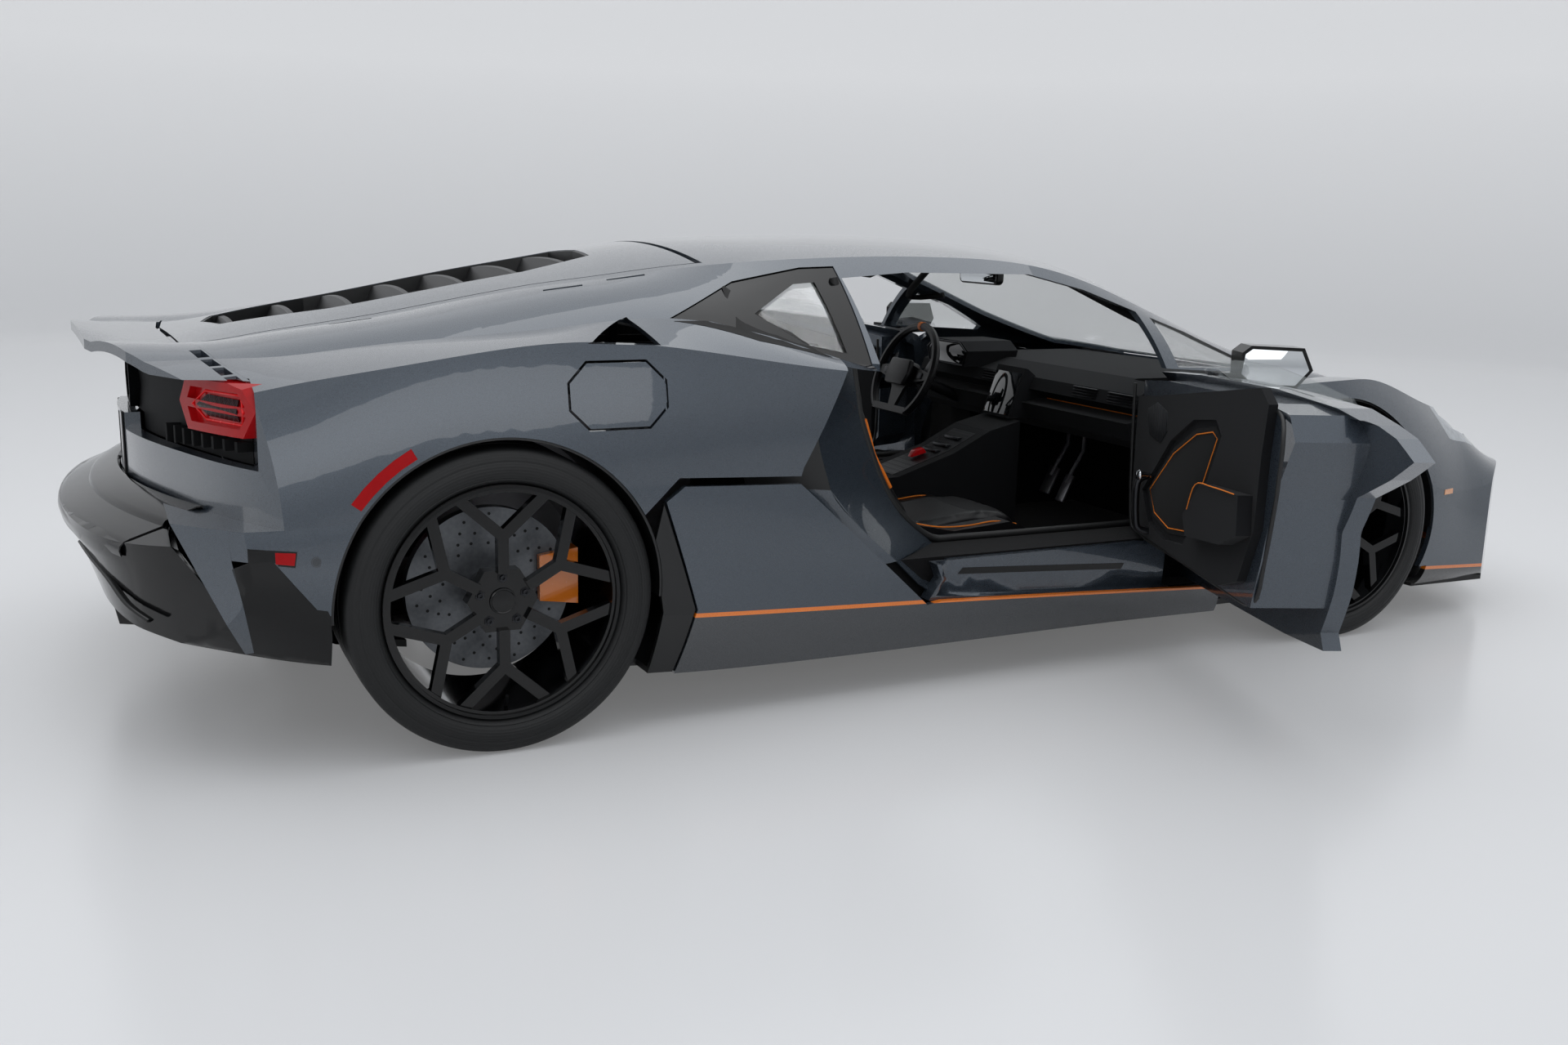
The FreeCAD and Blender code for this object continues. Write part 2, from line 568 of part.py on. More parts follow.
keep("front_splitter", plan_both(splitter_plan, splitter_top - 16, splitter_top))
lamps = []
for block, side in zip(lamp_cut, (1, -1)):
    corners = [Vector(along(x), side * across(y), up(470)) for x, y in lamp_plan]
    well = Part.Face(Part.makePolygon(corners + corners[:1])).makeOffset2D(-24, join=2)
    well = well.extrude(Vector(0, 0, TALL))
    lamps.append(layer(block, 0, 40).cut(well.cut(form(14))))
keep("headlamps", Part.makeCompound(lamps))

# Tail: spoiler, dark fascia with six-sided lamps, bumper with its fins, and diffuser.
EXHAUST_RING = [(-150, 800), (-105, 862), (105, 862), (150, 800), (105, 738), (-105, 738)]
FIN = [(-2130, 575), (-2020, 575), (-2015, 500), (-1975, 280), (-1992, 275)]
FOOT = [(-1815, 575), (-1815, 380), (-1847, 387), (-1935, 505), (-2015, 505), (-2020, 575)]
FASCIA_LOW = 690
PLATE_HALF, PLATE_TOP = 175, 732
tail_space = box(tail_x - 50, along(-1815), -TALL, TALL, -10, TALL)
tail_shell = shell.common(tail_space).cut(engine_lid_cut).cut(spoiler_cut)
for side in (1, -1):
    tail_shell = tail_shell.cut(side_block(quarter_outline, 250, 1200, side))
spoiler = form(0).common(spoiler_space).cut(form(24))
SLOTS = 4
for side in (1, -1):
    for k in range(SLOTS):
        near, far = 585 + 68 * k, 640 + 68 * k
        edge = [(-2015 + (y - 600) * 0.27, y) for y in (near, far)]
        slot = [(edge[0][0] - 8, near), (edge[1][0] - 8, far), (edge[1][0] - 34, far), (edge[0][0] - 34, near)]
        spoiler = spoiler.cut(plan_block(slot, up(876), TALL, side))
keep("tail_spoiler", spoiler)
tail_lamps = []
for ring, side in zip(lamp_holes, (1, -1)):
    lamp = outer.common(ring).cut(form(wall).common(tail_limit(60, SHELF_HEIGHT)))
    for well in LAMP_WELLS:
        lamp = lamp.cut(rear_block(well, -1940, side).cut(tail_limit(16, SHELF_HEIGHT)))
    tail_lamps.extend(lamp.Solids)
    tail_lamps.append(layer(side_block(reflector_outline, 800, 1200, side), 0, 14))
keep("tail_lamps", Part.makeCompound(tail_lamps))

plate_block = box(tail_x - 50, along(-2000), -across(PLATE_HALF), across(PLATE_HALF), up(FASCIA_LOW) - 1, up(PLATE_TOP))
fascia_band = box(tail_x - 50, along(-1815), -TALL, TALL, up(FASCIA_LOW) + fit, TALL)
fascia = form(24 + fit).common(fascia_band).common(tail_limit(46, SHELF_HEIGHT))
fascia = fascia.cut(form(wall + 24).common(tail_limit(60, SHELF_HEIGHT))).cut(engine_lid_cut)
for side in (1, -1):
    fascia = fascia.cut(side_block(quarter_outline, 250, 1200, side))
RIBS = 8
ribs = []
for side in (1, -1):
    for k in range(RIBS):
        y = side * across(470 + 50 * k)
        low = 698 + 3 * k
        rib = side_block([(-2353, low), (-2353, 742), (-1930, 742), (-1930, low)], y - 5, y + 5)
        ribs.append(rib.common(form(10)).common(tail_limit(14, SHELF_HEIGHT)).cut(tail_limit(50, SHELF_HEIGHT)))
fascia = fascia.multiFuse([rib for rib in ribs if rib.Solids])
exhaust_hole = rear_block([(y * 1.004, 800 + (z - 800) * 1.008) for y, z in EXHAUST_RING], -1950)
fascia = fascia.cut(Part.makeCompound(lamp_holes)).cut(exhaust_hole).cut(plate_block)
keep("rear_fascia", fascia)
upper = box(tail_x - 50, along(-1815), -TALL, TALL, up(SHELF_HEIGHT), up(FASCIA_LOW)).fuse(plate_block)
shapes = [upper]
low_shapes = []
for side in (1, -1):
    for outline in (FIN, FOOT):
        shapes.append(side_block(outline, 560, 1200, side))
        low_shapes.append(grown(outline, fit, 560 - fit, 1200, side))
rear_bumper = tail_shell.common(shapes[0].multiFuse(shapes[1:]))
rear_bumper = rear_bumper.cut(rear_block([(-158, 578), (-158, 724), (158, 724), (158, 578)], -2100)
                              .cut(tail_limit(10, SHELF_HEIGHT)))
keep("rear_bumper", rear_bumper)
diffuser = tail_shell.common(box(tail_x - 50, along(-1815), -TALL, TALL, 0, up(SHELF_HEIGHT) - fit))
diffuser = diffuser.cut(Part.makeCompound(low_shapes))
FIN_PLACES = (-520, -310, -105, 105, 310, 520)
strakes = []
for y in FIN_PLACES:
    strake = side_block([(-1830, 170), (-1830, 260), (-2290, 420), (-2310, 250), (-2200, 205)],
                        across(y) - 5, across(y) + 5)
    strakes.append(strake.common(tail_limit(6, SHELF_HEIGHT)).cut(form(wall - 4)))
keep("diffuser", diffuser.multiFuse(strakes))
exhaust = rear_block(EXHAUST_RING, -2020).common(box(along(-2172), along(-2020), -300, 300, 0, TALL))
bore = rear_block([(y * 0.93, 800 + (z - 800) * 0.88) for y, z in EXHAUST_RING], -2060)
keep("exhaust", exhaust.cut(bore))

# Under-tray, with the dark blades ahead of the rear wheels and the jacking pads.
floor_space = box(along(-1990), along(arch_front_edge), -across(860), across(860), -10, up(210))
under = shell.common(floor_space)
for side in (1, -1):
    under = under.cut(side_block(skirt_outline, 860, 1200, side))
under = under.cut(box(tail_x, along(-1815), -TALL, TALL, -10, TALL))
for side in (1, -1):
    under = under.cut(box(rear_axle_x - 165, rear_axle_x + 165, *sorted((side * 396, side * 900)), 0, TALL))
PAD_RADIUS, PAD_LOW, PAD_TALL = 32.0, 106.0, 24.0
for side in (1, -1):
    for x in (-820, 640):
        foot = Vector(along(x), side * across(740), up(PAD_LOW))
        pad = Part.makeCylinder(PAD_RADIUS, PAD_TALL, foot)
        under = under.fuse(pad)
blades = []
for side in (1, -1):
    blade = layer(side_block(BLADE, 830, 1200, side), 4, wall)
    blades.extend(blade.cut(Part.makeCompound(arches)).Solids)
keep("underbody", Part.makeCompound(under.Solids + blades))

# Liners over the wheels.
LID_SWEEP = [(1346, 810), (1346, 612), (1380, 636), (1436, 668), (1462, 692), (1475, 720), (1475, 810)]
liners = []
for side in (1, -1):
    for x, place, near in ((front_axle_x, "front", front_arch_inner), (rear_axle_x, "rear", rear_arch_inner)):
        z = size(place + "_tyre_radius")
        radius = (front_arch_radius if place == "front" else rear_arch_radius) - fit
        ring = arch(x, z, radius, near, side).cut(arch(x, z, radius - size("arch_liner"), near - 5, side))
        top = box(x - 500, x + 500, *sorted((side * near, side * TALL)), z - 20, TALL)
        liner = ring.common(top).common(form(6))
        liners.append(liner.cut(side_block(LID_SWEEP, 500, 607, side)))
keep("arch_liners", Part.makeCompound(liners))

# Tub: floor, sills, bulkheads, hinge pillars and the rails that carry the suspension.
floor_low = up(118) + wall + fit
floor_top = size("floor_top")
sill_top = size("sill_top")
cabin_rear = along(-640)
inside = form(wall + fit).common(tail_limit(3 * wall, SHELF_HEIGHT - 3 * wall)).common(nose_limit(3 * wall))
arm_dip = 114.0
pillar_rear = front_edge + size("door_pillar_gap")
pillar_out = size("door_hinge_out") - 100
engine_half = size("engine_width") / 2
tub_parts = [
    box(cabin_rear, along(830), -640, 640, floor_low, floor_top),
    box(along(820), along(1340), -535, 535, floor_low, floor_top),
    box(cabin_rear, cabin_rear + 40, -740, 740, floor_low, up(890)),
    box(along(1300), along(1330), -535, 535, floor_low, up(690)),
]
for side in (1, -1):
    def across_side(near, far):
        return sorted((side * near, side * far))
    y0, y1 = across_side(640, 868)
    swing = rod(swing_radius, (hinge_x, side * hinge_out, up(196)), (hinge_x, side * hinge_out, TALL))
    tub_parts.append(box(cabin_rear, pillar_rear, y0, y1, floor_low, sill_top).cut(swing))
    y0, y1 = across_side(868, 1000)
    tub_parts.append(box(cabin_rear, pillar_rear, y0, y1, floor_low, up(190)).common(inside))
    y0, y1 = across_side(500, pillar_out)
    tub_parts.append(box(pillar_rear, along(815), y0, y1, floor_low, up(770)))
    y0, y1 = across_side(505, 535)
    tub_parts.append(box(along(810), along(1310), y0, y1, floor_low, up(640)))
    y0, y1 = across_side(330, 420)
    tub_parts.append(box(along(1320), along(2190), y0, y1, up(190), up(300)))
    y0, y1 = across_side(engine_half, 400)
    tub_parts.append(box(along(-1850), cabin_rear + 10, y0, y1, up(190), up(290)))
    y0, y1 = across_side(DECK_HINGE_OUT - 30 - fit, DECK_HINGE_OUT - fit)
    tub_parts.append(box(deck_hinge[0] - 16, cabin_rear + 10, y0, y1, up(850), up(885)))
    tub_parts.append(box(deck_hinge[0] - 13, deck_hinge[0] + 13, y0, y1, up(850), deck_hinge[1]))
    tub_parts.append(rod(13, (deck_hinge[0], y0, deck_hinge[1]), (deck_hinge[0], y1, deck_hinge[1])))
    tub_parts.append(rod(HINGE_PIN, (deck_hinge[0], side * (DECK_HINGE_OUT - 20), deck_hinge[1]),
                         (deck_hinge[0], side * (DECK_HINGE_OUT + LUG_WIDTH), deck_hinge[1])))
tub_parts.append(box(along(2160), along(2190), -420, 420, up(190), up(300)))
tub_parts.append(box(along(-1850), along(-1810), -400, 400, up(190), up(290)))

# Door hinges: an arm reaches inboard round the door's front edge and holds an upright pin.
pin_radius = size("hinge_pin_radius")
arm_height = size("hinge_arm_height")
HINGE_LEVELS = (300.0, 640.0)
LUG_HEIGHT = 32.0
ARM_IN = 128.0


def hinge_arm(side, level):
    """Bent arm from the hinge pillar to the pin."""
    plan = [(hinge_x - 12, hinge_out), (hinge_x + 12, hinge_out), (hinge_x + 12, hinge_out - ARM_IN + 28),
            (pillar_rear + 5, hinge_out - ARM_IN + 28), (pillar_rear + 5, hinge_out - ARM_IN),
            (hinge_x - 12, hinge_out - ARM_IN)]
    corners = [Vector(x, side * y, level - arm_height) for x, y in plan]
    bar = Part.Face(Part.makePolygon(corners + corners[:1])).extrude(Vector(0, 0, arm_height))
    eye = rod(12, (hinge_x, side * hinge_out, level - arm_height), (hinge_x, side * hinge_out, level))
    pin = rod(pin_radius, (hinge_x, side * hinge_out, level - 5),
              (hinge_x, side * hinge_out, level + LUG_HEIGHT + 4))
    return [bar, eye, pin]


tub = fused(tub_parts).common(inside)
arms = [part for side in (1, -1) for level in HINGE_LEVELS for part in hinge_arm(side, level)]
keep("tub", tub.multiFuse(arms).removeSplitter())

# Doors, made shut and then swung open about their hinges.
DOOR_GLASS = [(-335, 885), (-200, 905), (0, 925), (244, 915), (400, 893), (530, 862)]
DOOR_GLASS += [(x, line_at(GLASS_BASE, x)[1] * DRAWN_HEIGHT / size("body_height") - 8)
               for x in (530, 400, 200, 0, -200, -335)]
card_depth = size("card_thickness")
CARD_OUTLINE = [(front_edge - 65, 765), (507, 788), (0, 862), (-207, 892), (-262, 860), (-245, 738),
                (-239, 563), (-165, 420), (-40, 378), (front_edge - 110, 372), (front_edge - 65, 430)]
CARD_POCKET = [(222, 759), (60, 781), (15, 747), (162, 499), (233, 421), (387, 400), (528, 422), (603, 503),
               (387, 680)]
ARM_REST = [(-225, 545), (-215, 640), (40, 620), (150, 520), (120, 470), (-120, 500)]
ARM_REST_DEPTH = 58.0
POCKET_DEPTH = 13.0
LUG_HALF = 17.0
MIRROR_HEAD = [(0, -30), (35, -60), (165, -62), (210, -8), (180, 55), (25, 60), (0, 40)]
skin = layer(side_block(DOOR_OUTLINE, 500, 1200), 0, size("door_skin"))
frame = side_block(DOOR_FRAME, size("door_inner_face"), 1200).common(form(wall / 2))
door = skin.fuse(frame)
for level in HINGE_LEVELS:
    low, high = level - arm_height - 6, level + LUG_HEIGHT
    door = door.cut(box(hinge_x - 135, front_edge + 5, 500, hinge_out + 13, low, level + 6))
    door = door.cut(box(hinge_x - 60, front_edge + 5, hinge_out - LUG_HALF, hinge_out + 13, level + 5, high + 10))
    lug = box(hinge_x - 61, hinge_x + LUG_HALF, hinge_out - LUG_HALF, hinge_out + 14, level + fit, high)
    lug = lug.cut(rod(pin_radius + pin_gap, (hinge_x, hinge_out, level - 5),
                      (hinge_x, hinge_out, level + LUG_HEIGHT + 5)))
    door = door.fuse(lug)
pane = layer(side_block(DOOR_GLASS, 600, 1000), 14, 14 + glass)
door = door.cut(pane)
card_face = size("door_inner_face") - fit
card = side_block(CARD_OUTLINE, card_face - card_depth, card_face)
card = card.cut(side_block(CARD_POCKET, card_face - card_depth - 5, card_face - card_depth + POCKET_DEPTH))
card = card.fuse(side_block(ARM_REST, card_face - ARM_REST_DEPTH, card_face - card_depth / 2))
arm = box(560, 605, 860, 960, up(780), up(850))
head_profile = [Vector(560, 940 + y, up(868) + z) for y, z in MIRROR_HEAD]
head = Part.Face(Part.makePolygon(head_profile + head_profile[:1])).extrude(Vector(85, 0, 0))
mirror = arm.fuse(head).cut(form(0))
door_pieces = (("door_", door), ("door_card_", card), ("door_glass_", pane), ("door_mirror_", mirror))
for side, word in ((1, "left"), (-1, "right")):
    turn = Placement(Vector(0, 0, 0), Rotation(Vector(0, 0, 1), -side * size("door_open_angle")),
                     Vector(hinge_x, side * hinge_out, 0))
    for name, shape in door_pieces:
        keep(name + word, shape if side == 1 else mirrored(shape), turn)

# Wheels.
kingpin_out = size("kingpin_out")
rim_wall = size("rim_wall")


def turned(profile, x, z, side):
    """Ring turned about a wheel's axle: profile of distance out and radius."""
    corners = [Vector(x, side * out, z + radius) for out, radius in profile]
    face = Part.Face(Part.makePolygon(corners + corners[:1]))
    return face.revolve(Vector(x, 0, z), Vector(0, 1, 0), 360)


SPINDLE = 22.0


def wheel(place, x, track, radius, width, rim_radius, side, word):
    """Tyre, rim and brake disc of one wheel."""
    middle = track / 2
    near, far = middle - width / 2, middle + width / 2
    seat = rim_radius - 10
    bead = 27
    tyre = turned([(near + bead, seat + fit), (near + bead, rim_radius + fit), (near, rim_radius + 24),
                   (near + 24, radius), (far - 24, radius), (far, rim_radius + 24),
                   (far - bead, rim_radius + fit), (far - bead, seat + fit)], x, radius, side)
    barrel = [(near + 26.7, seat), (near + 26.7, rim_radius), (near + 14, rim_radius),
              (near + 14, seat - rim_wall), (far - 16, seat - rim_wall), (far - 16, rim_radius),
              (far - 26.7, rim_radius), (far - 26.7, seat)]
    parts = [turned(barrel, x, radius, side)]
    face_out = far - 24
    depth = size("spoke_depth")
    hub = size("hub_radius")
    corners = [Vector(x + hub * math.sin(math.radians(60 * k + 30)), side * (face_out - 30 - depth),
                      radius + hub * math.cos(math.radians(60 * k + 30))) for k in range(6)]
    block = Part.Face(Part.makePolygon(corners + corners[:1]))
    parts.append(block.extrude(Vector(0, side * (depth + 16), 0)))
    for k in range(6):
        for start, end, turn_from, turn_to in ((0.8 * hub, 0.62, 0, 0), (0.58, 1.0, 0, 22), (0.58, 1.0, 0, -22)):
            r0 = start if start > 5 else start * seat
            r1 = end * (seat - 3)
            a0 = math.radians(60 * k + turn_from)
            a1 = math.radians(60 * k + turn_to)
            p0 = Vector(x + r0 * math.sin(a0), 0, radius + r0 * math.cos(a0))
            p1 = Vector(x + r1 * math.sin(a1), 0, radius + r1 * math.cos(a1))
            run = (p1 - p0).normalize()
            half = Vector(run.z, 0, -run.x) * (size("spoke_width") / 2)
            corners = [p0 - half, p0 + half, p1 + half, p1 - half]
            corners = [Vector(c.x, side * face_out, c.z) for c in corners]
            face = Part.Face(Part.makePolygon(corners + corners[:1]))
            parts.append(face.extrude(Vector(0, -side * depth, 0)))
    spokes = parts[1].multiFuse(parts[2:]).common(rod(seat - 2, (x, side * (near + 5), radius),
                                                      (x, side * far, radius)))
    rim = parts[0].fuse(spokes)
    for k in range(5):
        turn = math.radians(72 * k)
        bolt_x = x + size("bolt_circle") / 2 * math.sin(turn)
        bolt_z = radius + size("bolt_circle") / 2 * math.cos(turn)
        rim = rim.cut(rod(size("bolt_hole") / 2, (bolt_x, side * (near + 5), bolt_z), (bolt_x, side * far, bolt_z)))
    disc_out = middle - 2
    thickness = size("disc_thickness")
    disc = turned([(disc_out, SPINDLE + 30), (disc_out, size("disc_radius")),
                   (disc_out - thickness, size("disc_radius")), (disc_out - thickness, SPINDLE + 30)],
                  x, radius, side)
    hat = rod(SPINDLE + 30, (x, side * (disc_out - thickness), radius), (x, side * (face_out - 30 - depth), radius))
    bore = rod(SPINDLE + pin_gap, (x, side * (disc_out - thickness - 5), radius), (x, side * (face_out - 40), radius))
    disc = disc.fuse(hat).cut(bore)
    rim = rim.cut(bore)
    keep("%s_tyre_%s" % (place, word), tyre)
    keep("%s_rim_%s" % (place, word), rim)
    keep("%s_disc_%s" % (place, word), disc)
    return disc_out, thickness, face_out


rear_knuckles = []
rear_calipers = []
for side, word in ((1, "left"), (-1, "right")):
    for place, x, out_from in (("front", front_axle_x, kingpin_out - 40), ("rear", rear_axle_x, 730.0)):
        radius = size(place + "_tyre_radius")
        disc_out, thickness, face_out = wheel(place, x, size(place + "_track"), radius,
                                              size(place + "_tyre_width"), size(place + "_rim_radius"), side, word)
        reach = disc_out - thickness - 6
        upright = box(x - 38, x + 38, *sorted((side * out_from, side * reach)), radius - 165, radius + 165)
        spindle = rod(SPINDLE, (x, side * (reach - 10), radius), (x, side * (face_out - 42), radius))
        way = -1 if place == "front" else 1
        plan = [(118, -56), (214, -70), (214, 70), (118, 56)]
        corners = [Vector(x + way * a, side * (disc_out - thickness - 34), radius + b + 20) for a, b in plan]
        block = Part.Face(Part.makePolygon(corners + corners[:1])).extrude(Vector(0, side * (thickness + 60), 0))
        ring = turned([(disc_out + 5, 30), (disc_out + 5, size("disc_radius") + 6),
                       (disc_out - thickness - 5, size("disc_radius") + 6), (disc_out - thickness - 5, 30)],
                      x, radius, side)
        caliper = block.cut(ring)
        ear = box(*sorted((x + way * 30, x + way * 150)),
                  *sorted((side * (disc_out - thickness - 60), side * (disc_out - thickness - 34 - fit))),
                  radius - 20, radius + 80)
        upright = upright.multiFuse([spindle, ear])
        pin_y = side * (kingpin_out if place == "front" else out_from + 30)
        for level in (-1, 1):
            if level > 0 and place == "rear":
                continue
            upright = upright.cut(rod(10 + pin_gap, (x, pin_y, radius + level * 130),
                                      (x, pin_y, radius + level * 170)))
        if place == "front":
            keep("front_knuckle_" + word, upright.removeSplitter())
            keep("front_caliper_" + word, caliper)
        else:
            rear_knuckles.append(upright.removeSplitter())
            rear_calipers.append(caliper)
keep("rear_knuckles", Part.makeCompound(rear_knuckles))
keep("rear_calipers", Part.makeCompound(rear_calipers))

# Interior and machinery.
engine = doc.addObject("Part::Box", "engine_block")
engine.Label = "engine_block"
engine.setExpression("Length", "sizes.engine_length")
engine.setExpression("Width", "sizes.engine_width")
engine.setExpression("Height", "sizes.engine_height")
engine.Placement = Placement(Vector(cabin_rear - 60 - size("engine_length"), -engine_half, up(200)), Rotation())
doc.recompute()
pieces.append(engine)

# Seats: a shell with side wings, and room between them for the cushions.
SEAT_SHELL = [(275, 0), (-240, 0), (-330, 90), (-585, 640), (-560, 745), (-470, 750), (-400, 640),
              (-330, 430), (-215, 235), (0, 190), (200, 205), (285, 170)]
SEAT_INSERT = [(320, 135), (180, 140), (-60, 120), (-245, 165), (-365, 420), (-465, 660), (-380, 800),
               (-100, 500), (320, 320)]
SEAT_HALF, INSERT_HALF, SEAT_OUT = 245.0, 165.0, 370.0
seats = []
for side in (1, -1):
    for points, half in ((SEAT_SHELL, SEAT_HALF), (SEAT_INSERT, INSERT_HALF)):
        corners = [Vector(along(x + 20), side * SEAT_OUT - half, floor_top + fit + z) for x, z in points]
        block = Part.Face(Part.makePolygon(corners + corners[:1])).extrude(Vector(0, 2 * half, 0))
        whole = block if points is SEAT_SHELL else whole.cut(block)
    seats.append(whole)
keep("seats", Part.makeCompound(seats))
CONSOLE_SIDE = [(-560, 0), (-560, 215), (-240, 250), (120, 262), (330, 330), (470, 400), (590, 430), (590, 0)]
console = [Vector(along(x), -110, floor_top + fit + z) for x, z in CONSOLE_SIDE]
keep("console", Part.Face(Part.makePolygon(console + console[:1])).extrude(Vector(0, 220, 0)))

# Dashboard: padded top, passenger ledge, hood over the dials and an upright middle screen.
DASH_SIDE = [(1290, 560), (720, 560), (640, 600), (612, 655), (700, 668), (700, 690), (640, 700), (655, 740),
             (760, 776), (1290, 776)]
dash_plan = [(1290, 0), (1250, 495), (750, 495), (750, 640), (600, 640), (600, 0)]
dash = side_block(DASH_SIDE, -660, 660).common(plan_both(dash_plan[::-1], up(500), up(800)))
HOOD = [(250, 742), (228, 800), (280, 832), (460, 832), (512, 800), (490, 742)]
corners = [Vector(along(585), y, up(z)) for y, z in HOOD]
hood = Part.Face(Part.makePolygon(corners + corners[:1])).extrude(Vector(along(800) - along(585), 0, 0))
MIDDLE_SCREEN = [(560, 600), (618, 770), (632, 766), (720, 700), (720, 600)]
dash = dash.multiFuse([hood, side_block(MIDDLE_SCREEN, -82, 82)]).common(form(wall + 4))
wheel_at = Vector(along(410), 370, up(715))
tilt = math.radians(22)
toward_driver = Vector(-math.cos(tilt), 0, math.sin(tilt))
column_end = wheel_at - toward_driver * 330
bore = rod(20 + pin_gap, tuple(wheel_at - toward_driver * 60), tuple(column_end - toward_driver * 5))
keep("dashboard", dash.cut(bore))

# Steering wheel, drawn upright about its axle and then leaned back: flat at the bottom.
rim_radius = size("steering_wheel_radius")
grip = size("steering_rim_radius")
FLAT_AT = 0.8 * rim_radius
ring_profile = [Vector(grip * math.cos(math.radians(45 * k + 22.5)), 0,
                       rim_radius + grip * math.sin(math.radians(45 * k + 22.5))) for k in range(8)]
ring = Part.Face(Part.makePolygon(ring_profile + ring_profile[:1])).revolve(Vector(0, 0, 0), Vector(1, 0, 0), 360)
ring = ring.cut(box(-50, 50, -300, 300, -300, -FLAT_AT))
flat_half = math.sqrt(rim_radius ** 2 - FLAT_AT ** 2) + 4
flat_bar = box(-0.9 * grip, 0.9 * grip, -flat_half, flat_half, -FLAT_AT - 8, -FLAT_AT + 16)
SPOKES = [(-170, -14), (-60, -34), (-40, -62), (-16, -150), (16, -150), (40, -62), (60, -34), (170, -14),
          (170, 12), (50, 30), (-50, 30), (-170, 12)]
corners = [Vector(-6, y, z) for y, z in SPOKES]
spokes = Part.Face(Part.makePolygon(corners + corners[:1])).extrude(Vector(12, 0, 0))
boss = Part.makeCylinder(46, 50, Vector(-14, 0, 0), Vector(1, 0, 0))
column = Part.makeCylinder(20, 330, Vector(0, 0, 0), Vector(1, 0, 0))
whole_wheel = ring.multiFuse([flat_bar, spokes, boss, column])
lean = Placement(wheel_at, Rotation(Vector(0, 1, 0), 22))
keep("steering_wheel", whole_wheel, lean)
POST_HALF = 13.0
luggage = box(along(1345), along(1850), -400, 400, up(300) + fit, up(560))
luggage = luggage.cut(box(along(1353), along(1842), -392, 392, up(313), up(570)))
posts = []
for side in (1, -1):
    y0, y1 = sorted((side * (LID_HINGE_OUT - 30 - fit), side * (LID_HINGE_OUT - fit)))
    posts.append(box(lid_hinge[0] - POST_HALF, lid_hinge[0] + POST_HALF, y0, y1, up(500), lid_hinge[1]))
    posts.append(rod(POST_HALF, (lid_hinge[0], y0, lid_hinge[1]), (lid_hinge[0], y1, lid_hinge[1])))
    y0, y1 = sorted((side * (LID_HINGE_OUT - 20), side * 396))
    posts.append(box(lid_hinge[0] - 16, lid_hinge[0] + 16, y0, y1, up(530), up(560)))
    posts.append(rod(HINGE_PIN, (lid_hinge[0], side * (LID_HINGE_OUT - 10), lid_hinge[1]),
                     (lid_hinge[0], side * (LID_HINGE_OUT + LUG_WIDTH), lid_hinge[1])))
keep("luggage_tub", luggage.multiFuse(posts))

# Suspension arms and half-shafts.
arms = []
for side in (1, -1):
    for place, x, pin_out, root in (("front", front_axle_x, kingpin_out, 535), ("rear", rear_axle_x, 760.0, 400)):
        radius = size(place + "_tyre_radius")
        ahead = 100 if place == "front" else 150
        for level in (-1, 1):
            if level > 0 and place == "rear":
                continue
            z = radius + level * (165 + fit)
            plan = [(x, pin_out + 14), (x - 20, pin_out), (x - 150, root + fit), (x - 110, root + fit),
                    (x, pin_out - 60), (x + ahead - 40, root + fit), (x + ahead, root + fit), (x + 20, pin_out)]
            corners = [Vector(px, side * py, z) for px, py in plan]
            arm = Part.Face(Part.makePolygon(corners + corners[:1])).extrude(Vector(0, 0, level * 18))
            pin = rod(10, (x, side * pin_out, z + level * 10), (x, side * pin_out, z - level * 30))
            arms.append(arm.fuse(pin))
keep("suspension_arms", Part.makeCompound(arms))

doc.recompute()
faulty = [f.Label for f in doc.Objects if "Invalid" in f.State or "Error" in f.State]
faulty += [f.Label for f in pieces if f.Shape.isNull() or not f.Shape.isValid() or not f.Shape.Solids]
for f in pieces:
    print(f.Label, f.Shape.isValid(), len(f.Shape.Solids), round(f.Shape.Volume / 1e6, 2))
if faulty:
    raise RuntimeError("these came out faulty: " + ", ".join(faulty))
for f in pieces:
    f.Shape.exportStep("parts/%s.step" % f.Label)
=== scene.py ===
"""Looks of a low mid-engined two-seat coupe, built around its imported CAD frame."""

import logging
import math
from dataclasses import dataclass, field, replace
from enum import Enum

import bmesh
import bpy
from mathutils import Matrix, Vector
from mathutils.bvhtree import BVHTree


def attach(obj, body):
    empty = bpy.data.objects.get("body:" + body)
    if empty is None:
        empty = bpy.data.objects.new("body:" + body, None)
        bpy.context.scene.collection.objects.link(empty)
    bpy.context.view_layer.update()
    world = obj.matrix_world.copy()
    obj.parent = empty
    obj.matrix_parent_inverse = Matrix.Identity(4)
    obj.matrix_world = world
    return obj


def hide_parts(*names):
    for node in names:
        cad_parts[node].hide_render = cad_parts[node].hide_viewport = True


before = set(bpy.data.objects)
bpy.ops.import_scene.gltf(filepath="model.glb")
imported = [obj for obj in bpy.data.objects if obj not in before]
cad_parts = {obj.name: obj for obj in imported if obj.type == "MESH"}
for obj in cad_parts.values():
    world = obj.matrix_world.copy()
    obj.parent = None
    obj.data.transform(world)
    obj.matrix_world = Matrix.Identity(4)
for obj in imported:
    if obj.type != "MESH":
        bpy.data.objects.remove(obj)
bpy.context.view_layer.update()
LOG = logging.getLogger("coupe")
MM = 0.001
WELD_MM = 0.01
SHEET_MM = 3.0
SHARP_TURN = 0.43
SIDES = ((1, "left"), (-1, "right"))
Place = tuple[float, float, float]
Line = tuple[tuple[float, ...], ...]
Socket = bpy.types.NodeSocket


